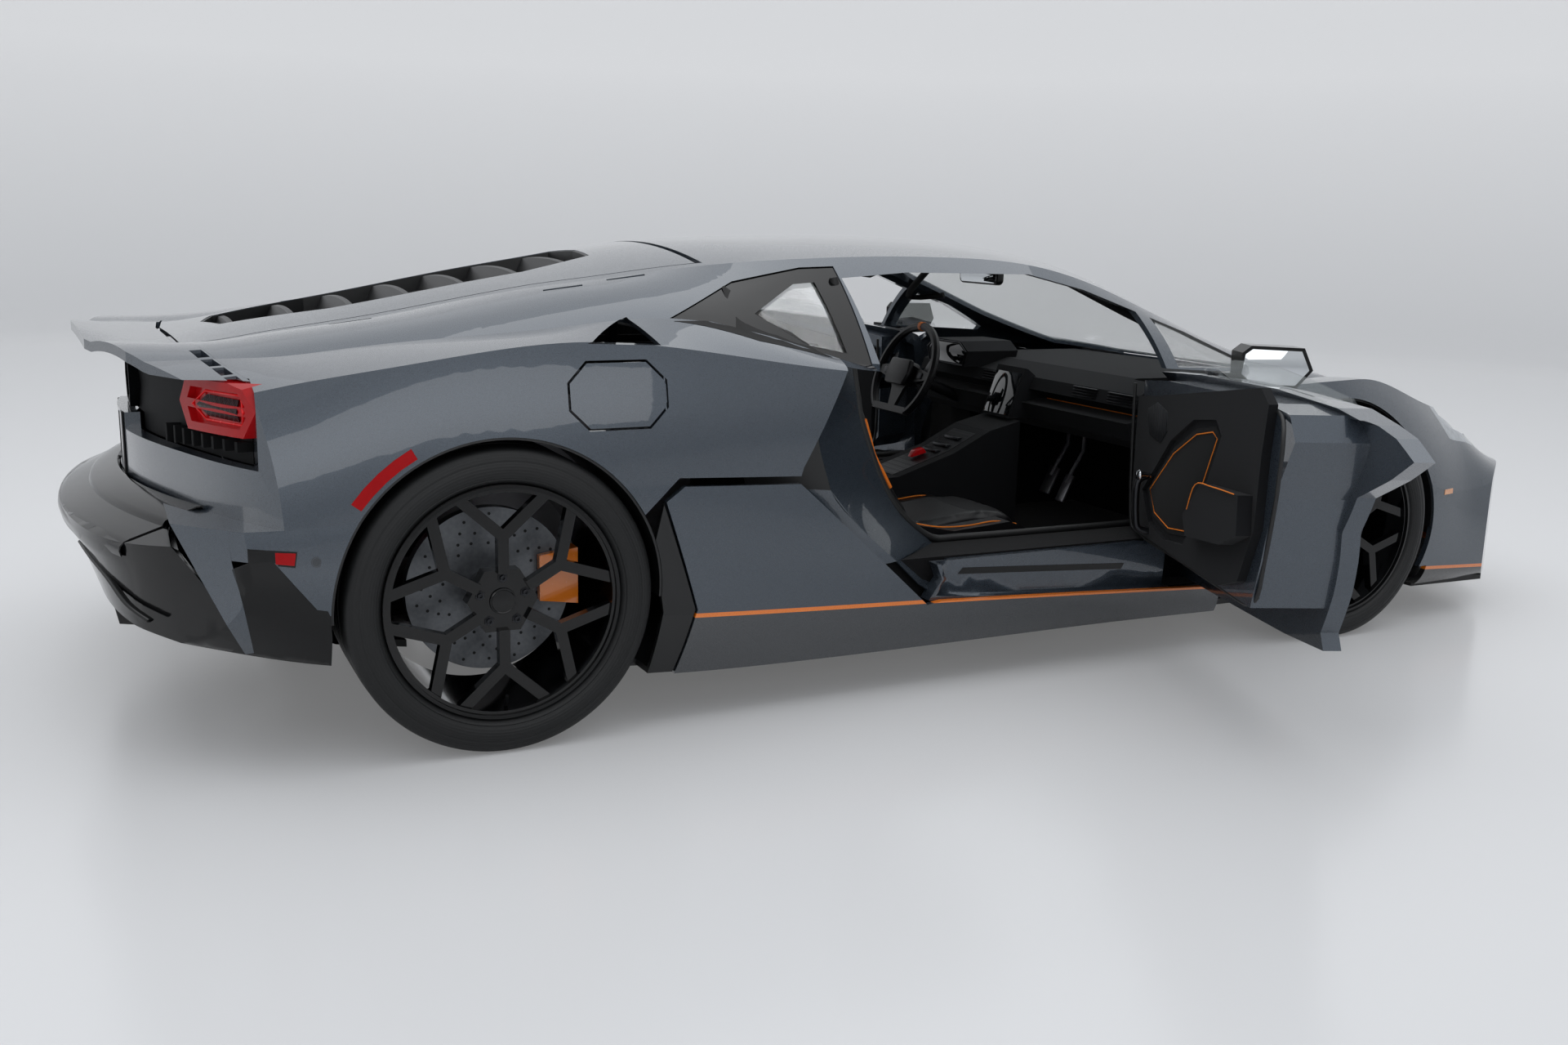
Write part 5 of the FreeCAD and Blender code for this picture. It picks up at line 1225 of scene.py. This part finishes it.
@dataclass
class Cabin(Assembly):
    """Padded seats, wheel, screens, vents, pedals and the mirror over the screen.

    Seat outlines are pairs of X and Z, and the outlines of the dash, mirror and wheel pairs of Y and Z.
    """

    seat_out: float = 370.0
    cushion_outline: Line = ((308, 308), (200, 311), (-40, 291), (-185, 322), (-170, 366), (-30, 352),
                             (150, 372), (285, 366), (318, 335))
    back_outline: Line = ((-226, 350), (-346, 592), (-432, 792), (-398, 806), (-300, 610), (-172, 388))
    head_outline: Line = ((-434, 806), (-444, 836), (-420, 880), (-388, 870), (-368, 828), (-384, 806))
    cushion_half: float = 158.0
    head_half: float = 130.0
    bolster_path: Line = ((-190, 378), (-167, 405), (-197, 450), (-227, 500), (-256, 550), (-285, 600),
                          (-301, 650), (-318, 700), (-342, 745), (-385, 778))
    bolster_out: float = 205.0
    bolster_radius: float = 33.0
    roll_out: float = 15.0
    strip_ahead: float = 22.0
    strip_out: float = 37.0
    strip_from: int = 3
    strip_to: int = 8
    piping_stations: tuple[float, ...] = (-120, -20, 80, 180, 260)
    piping_out: float = 218.0
    over: float = 700.0
    dial_outline: Line = ((262, 752), (244, 796), (284, 822), (456, 822), (496, 796), (478, 752))
    dial_frame: Line = ((258, 748), (238, 797), (282, 827), (458, 827), (502, 797), (482, 748))
    dial_face: float = 583.0
    screen_size: tuple[float, float] = (148.0, 150.0)
    screen_at: Place = (563.5, 0.0, 609.0)
    screen_slope: tuple[float, float] = (58.0, 170.0)
    vent_places: tuple[float, ...] = (-560, -380, 150)
    vent_half: float = 62.0
    vent_slats: int = 4
    ledge_seam: Line = ((697, -640, 669), (697, -110, 669))
    plate_area: tuple[float, float, float] = (120.0, 440.0, 70.0)
    pad_area: tuple[float, float, float] = (-380.0, 40.0, 88.0)
    guard_x: float = 250.0
    guard_outline: Line = ((-26, 2), (-14, 24), (20, 34), (34, 16))
    key_places: tuple[float, ...] = (310, 350, 395)
    mirror_x: float = 520.0
    screen_under: float = 900.0
    mirror_shift: tuple[float, float] = (-45.0, -62.0)
    mirror_house: Line = ((-118, -22), (-104, -32), (104, -32), (118, -22), (118, 18), (96, 30), (-96, 30),
                          (-118, 18))
    mirror_view: Line = ((-108, -18), (-98, -26), (98, -26), (108, -18), (108, 14), (90, 24), (-90, 24),
                         (-108, 14))
    pedal_rows: Line = ((300, 210, 34), (400, 225, 46))
    pedal_x: float = 1080.0
    pedal_lean: float = 0.45
    wheel_at: Place = (410.0, 370.0, 715.0)
    wheel_lean: float = 22.0
    wheel_radius: float = 178.0
    boss_outline: Line = ((-78, -8), (-62, -52), (62, -52), (78, -8), (66, 44), (-66, 44))
    mark_turns: tuple[float, ...] = (-0.05, -0.025, 0, 0.025, 0.05)
    paddle_outline: Line = ((100, -30), (150, -20), (158, 60), (118, 74), (96, 20))

    def build(self) -> None:
        """Make the cabin's pieces."""
        self.seats()
        self.bolsters()
        self.screens()
        self.console_trim()
        self.inner_mirror()
        self.pedals()
        self.steering()

    def seats(self) -> None:
        """Pad one seat by simulation and set a copy in the other."""
        for name, outline, half in (("seat_cushion", self.cushion_outline, self.cushion_half),
                                    ("seat_back_pad", self.back_outline, self.cushion_half),
                                    ("head_rest", self.head_outline, self.head_half)):
            pad = Pad(name=name).build(prism(outline, 1, -half, half, round_mm=9))
            for side, word in SIDES:
                twin = pad.copy()
                twin.data = pad.data.copy()
                twin.name = twin.data.name = f"{name}_{word}"
                twin.data.transform(Matrix.Translation((0, side * self.seat_out * MM, 0)))
                bpy.context.scene.collection.objects.link(twin)
                twin.data.materials.clear()
                twin.data.materials.append(LEATHER.build())
                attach(twin, self.body)
                LOG.info("%s on %s, %d faces", twin.name, self.body, len(twin.data.polygons))
            bpy.data.objects.remove(pad)

    def bolsters(self) -> None:
        """Run a stuffed roll, a coloured strip and piping up both edges of each seat."""
        shells = in_mm("seats")
        for side, word in SIDES:
            middle = side * self.seat_out
            rolls, strips, threads = [], [], []
            for way in (1, -1):
                y = middle + way * self.bolster_out
                roll = [(x, y + way * self.roll_out, z) for x, z in self.bolster_path]
                rolls.append(tube(curve_through(roll), self.bolster_radius, sides=14))
                facing = [(x + self.strip_ahead, y + way * self.strip_out, z)
                          for x, z in self.bolster_path[self.strip_from:self.strip_to]]
                strips.append(tube(curve_through(facing, steps=6), radius=13, sides=10, flat=0.6))
                edge = [drop(shells, (x, middle + way * self.piping_out, self.over), (0, 0, -1), lift=2.0)
                        for x in self.piping_stations]
                threads.append(tube(curve_through(edge), radius=2.2, sides=6))
            stuffed = self.place("bolster_pads_" + word, joined(rolls), LEATHER, crease=60)
            self.place("bolster_strips_" + word, joined(strips), ORANGE_HIDE, crease=60)
            self.place("bolster_piping_" + word, joined(threads), ORANGE_THREAD, crease=60)

    def screens(self) -> None:
        """Make the dial screen, the middle screen, the vents and the ledge's seam."""
        face = self.dial_face
        dial = prism(self.dial_outline, 0, face - 0.5, face + 1.7, round_mm=0.8)
        self.place("dial_screen", dial, DARK_GLASS)
        ring = [(face, y, z) for y, z in self.dial_frame]
        self.place("dial_screen_frame", tube(ring, radius=2.6, closed=True), BLACK_STEEL)
        width, height = self.screen_size
        screen = block((-2.4, -width / 2, 0), (-0.2, width / 2, height), round_mm=0.8)
        lean = Matrix.Rotation(math.atan2(*self.screen_slope), 4, "Y")
        bmesh.ops.transform(screen, matrix=Matrix.Translation(self.screen_at) @ lean, verts=screen.verts)
        self.place("middle_screen", screen, DARK_GLASS)
        half = self.vent_half
        slats = [block((640 + k * 1.5, y - half, 708 + 9 * k), (668, y + half, 710.5 + 9 * k), round_mm=0.6)
                 for y in self.vent_places for k in range(self.vent_slats)]
        self.place("air_vents", joined(slats), BLACK_STEEL)
        self.place("ledge_stitching", tube(self.ledge_seam, radius=2.0, sides=6), ORANGE_THREAD)

    def over_console(self, area: tuple[float, float, float]) -> list[Place]:
        """Corners of a rectangle above the console, from its two X and half its width."""
        rear, front, half = area
        return [(x, y, self.over) for x, y in ((rear, -half), (rear, half), (front, half), (front, -half))]

    def console_trim(self) -> None:
        """Lay the console's plate, start guard, keys and arm pad on it."""
        console = in_mm("console")
        down = (0, 0, -1)
        plate = patch(console, self.over_console(self.plate_area), down, lift=1.5, thick=3, steps=(4, 14))
        self.place("console_plate", plate, CARBON)
        at = drop(console, (self.guard_x, 0, self.over), down)
        guard = prism([(at.x + x, at.z + z) for x, z in self.guard_outline], 1, -15, 15, round_mm=4)
        # The guard's faint glow is painted light; it is no lamp.
        self.place("start_guard", guard, LAMP_RED)
        keys = []
        for x in self.key_places:
            top = drop(console, (x, 0, self.over), down)
            keys.append(block((top.x - 11, -42, top.z - 2), (top.x + 11, 42, top.z + 9), round_mm=3))
        self.place("console_keys", joined(keys), BLACK_STEEL)
        pad = patch(console, self.over_console(self.pad_area), down, lift=9, thick=12, steps=(4, 10))
        self.place("console_arm_pad", rounded(pad, round_mm=4.0), LEATHER, crease=50)

    def inner_mirror(self) -> None:
        """Hang the mirror from the windscreen."""
        top = drop(in_mm("windscreen"), (self.mirror_x, 0, self.screen_under), (0, 0, 1), lift=1.0)
        ahead, up = self.mirror_shift
        place = (top.x + ahead, 0, top.z + up)
        house = prism(self.mirror_house, 0, -12, 14, round_mm=6)
        bmesh.ops.translate(house, vec=place, verts=house.verts)
        self.place("inner_mirror", house, SATIN_BLACK)
        stem = tube([tuple(top), (top.x - 34, 0, top.z - 48)], radius=9, sides=10)
        self.place("inner_mirror_stem", stem, SATIN_BLACK)
        view = prism(self.mirror_view, 0, -13.6, -12, round_mm=0.5)
        bmesh.ops.translate(view, vec=place, verts=view.verts)
        self.place("inner_mirror_glass", view, MIRROR)

    def pedals(self) -> None:
        """Make the two pedals and their stalks."""
        shapes = []
        for y, low, wide in self.pedal_rows:
            pad = block((-6, -wide / 2 - 8, 0), (4, wide / 2 + 8, 110), round_mm=3)
            place = Matrix.Translation((self.pedal_x, y, low)) @ Matrix.Rotation(self.pedal_lean, 4, "Y")
            bmesh.ops.transform(pad, matrix=place, verts=pad.verts)
            stalk = [(self.pedal_x + 25, y, low + 70), (self.pedal_x + 100, y, low + 190),
                     (self.pedal_x + 105, y, 545)]
            shapes += [pad, tube(stalk, radius=8)]
        self.place("pedals", joined(shapes), CAST)

    def steering(self) -> None:
        """Make the steering wheel's pad, top mark, keys and paddles."""
        lean = Matrix.Translation(self.wheel_at) @ Matrix.Rotation(math.radians(self.wheel_lean), 4, "Y")
        wheel = Assembly(body="steering_wheel", turn=lean)
        wheel.place("wheel_pad", prism(self.boss_outline, 0, -34, -14.2, round_mm=7), LEATHER, crease=50)
        radius = self.wheel_radius
        arc = [(0.0, radius * math.sin(a), radius * math.cos(a)) for a in self.mark_turns]
        wheel.place("wheel_top_mark", tube(arc, radius=16.4, sides=12), ORANGE_HIDE, crease=60)
        keys = []
        for side in (1, -1):
            keys.append(block((-10.5, side * 112 - 20, -14), (-6.2, side * 112 + 20, 8), round_mm=2))
            keys.append(prism([(side * y, z) for y, z in self.paddle_outline], 0, 12, 17, round_mm=2))
        wheel.place("wheel_keys_and_paddles", joined(keys), BLACK_STEEL)


@dataclass
class Studio:
    """Pale floor that curves up into a wall, soft lamps and the photograph's camera."""

    eye: Place = (-2.27195627, -4.18344502, 1.24864463)
    yaw: float = 64.11030
    pitch: float = -11.79621
    roll: float = 1.35391
    focal_px: float = 1777.718
    image_width_px: int = 1920
    sensor_mm: float = 36.0
    far_m: float = 200.0
    floor_radius: float = 11.0
    cove_radius: float = 3.0
    wall_height: float = 9.0
    floor_colour: str = "#C6C7C9"
    floor_roughness: float = 0.22
    floor_lift: float = 0.12
    wall_lift: float = 0.34
    sky_colour: str = "#EEF1F5"
    sky_strength: float = 0.95
    lamps: tuple = (("ceiling", (-0.5, -0.5, 5.2), (0.0, 0.0, 0.0), (9.0, 6.0), 150.0),
                    ("side_wall", (-2.0, -8.5, 3.0), (1.25, 0.0, 0.0), (9.0, 2.4), 90.0),
                    ("rear_wall", (-8.5, 0.0, 2.6), (1.25, 0.0, -1.5708), (7.0, 2.2), 60.0))

    def camera(self) -> None:
        """Place the camera where the photograph was taken."""
        data = bpy.data.cameras.new("camera")
        data.sensor_width = self.sensor_mm
        data.sensor_fit = "HORIZONTAL"
        data.lens = self.focal_px / self.image_width_px * self.sensor_mm
        data.clip_end = self.far_m
        yaw, pitch, roll = (math.radians(a) for a in (self.yaw, self.pitch, self.roll))
        ahead = Vector((math.cos(pitch) * math.cos(yaw), math.cos(pitch) * math.sin(yaw), math.sin(pitch)))
        right = ahead.cross(Vector((0, 0, 1))).normalized()
        above = right.cross(ahead)
        turned_right = math.cos(roll) * right + math.sin(roll) * above
        turned_up = -math.sin(roll) * right + math.cos(roll) * above
        turned = Matrix((turned_right, turned_up, -ahead)).transposed().to_4x4()
        camera = bpy.data.objects.new("camera", data)
        bpy.context.scene.collection.objects.link(camera)
        camera.matrix_world = Matrix.Translation(self.eye) @ turned
        bpy.context.scene.camera = camera

    def floor(self) -> None:
        """Turn a pale bowl: a flat floor, a cove and an upright wall."""
        shape = bmesh.new()
        flat, cove = self.floor_radius, self.cove_radius
        profile = [(0.0, 0.0), (flat, 0.0)]
        profile += [(flat + cove * math.sin(math.radians(a)), cove - cove * math.cos(math.radians(a)))
                    for a in range(10, 91, 10)]
        profile.append((flat + cove, self.wall_height))
        corners = [shape.verts.new((radius, 0.0, height)) for radius, height in profile]
        edges = [shape.edges.new(pair) for pair in zip(corners, corners[1:])]
        bmesh.ops.spin(shape, geom=corners + edges, cent=(0, 0, 0), axis=(0, 0, 1), angle=2 * math.pi,
                       steps=96, use_merge=True)
        bmesh.ops.remove_doubles(shape, verts=shape.verts, dist=0.0001)
        mesh = bpy.data.meshes.new("floor")
        shape.to_mesh(mesh)
        shape.free()
        mesh.shade_smooth()
        mesh.materials.append(self.backdrop())
        floor = bpy.data.objects.new("floor", mesh)
        bpy.context.scene.collection.objects.link(floor)

    def backdrop(self) -> bpy.types.Material:
        """Make the pale floor, lit a little for the camera and the reflections, and more so up the wall.

        Returns:
            The backdrop's material.
        """
        material = bpy.data.materials.new("pale_polished_floor")
        material.use_nodes = True
        tree = material.node_tree
        shader = tree.nodes["Principled BSDF"]
        shader.inputs["Base Color"].default_value = linear(self.floor_colour)
        shader.inputs["Roughness"].default_value = self.floor_roughness
        shader.inputs["Emission Color"].default_value = linear("#FFFFFF")
        ray = add_node(tree, "ShaderNodeLightPath")
        glossy, passing = ray.outputs["Is Glossy Ray"], ray.outputs["Is Transmission Ray"]
        mirrored = calculate(tree, "MAXIMUM", glossy, passing)
        seen = calculate(tree, "MAXIMUM", ray.outputs["Is Camera Ray"], mirrored)
        place = add_node(tree, "ShaderNodeTexCoord").outputs["Object"]
        height = add_node(tree, "ShaderNodeSeparateXYZ", links={"0": place}).outputs[2]
        lift = add_node(tree, "ShaderNodeMapRange",
                        {"[2]": self.cove_radius, "[3]": self.floor_lift, "[4]": self.wall_lift},
                        {"Value": height}).outputs[0]
        tree.links.new(calculate(tree, "MULTIPLY", seen, lift), shader.inputs["Emission Strength"])
        return material

    def light(self) -> None:
        """Hang soft lamps over a white world."""
        world = bpy.data.worlds.new("studio")
        bpy.context.scene.world = world
        world.use_nodes = True
        tree = world.node_tree
        tree.nodes.clear()
        soft = add_node(tree, "ShaderNodeBackground",
                        {"[Color]": linear(self.sky_colour), "[Strength]": self.sky_strength})
        add_node(tree, "ShaderNodeOutputWorld", links={"Surface": soft.outputs[0]})
        for name, place, turn, size, power in self.lamps:
            lamp = bpy.data.lights.new(name, "AREA")
            lamp.shape = "RECTANGLE"
            lamp.size, lamp.size_y = size
            lamp.energy = power
            shade = bpy.data.objects.new(name, lamp)
            shade.location = place
            shade.rotation_euler = turn
            shade.visible_camera = False
            bpy.context.scene.collection.objects.link(shade)

    def build(self) -> None:
        """Set up the whole studio."""
        bpy.context.scene.view_settings.view_transform = "Standard"
        self.camera()
        self.floor()
        self.light()


WHEEL_SIZES = {"rear": dict(x=-1430.0, track=1670.0, radius=364.0, width=325.0, rim_radius=279.0),
               "front": dict(x=1228.0, track=1722.0, radius=343.0, width=255.0, rim_radius=266.0)}


def main() -> None:
    """Build the scene in order."""
    logging.basicConfig(level=logging.INFO)
    Studio().build()
    dress_nodes()
    for end, sizes in WHEEL_SIZES.items():
        for _, word in SIDES:
            Wheel(body=f"{end}_wheel_{word}", end=end, word=word, **sizes).build()
    Tail().build()
    Opening().build()
    for side, word in SIDES:
        Door(body="door_" + word, side=side).build()
    Cabin().build()
    LOG.info("boxes written")


if __name__ == "__main__":
    main()
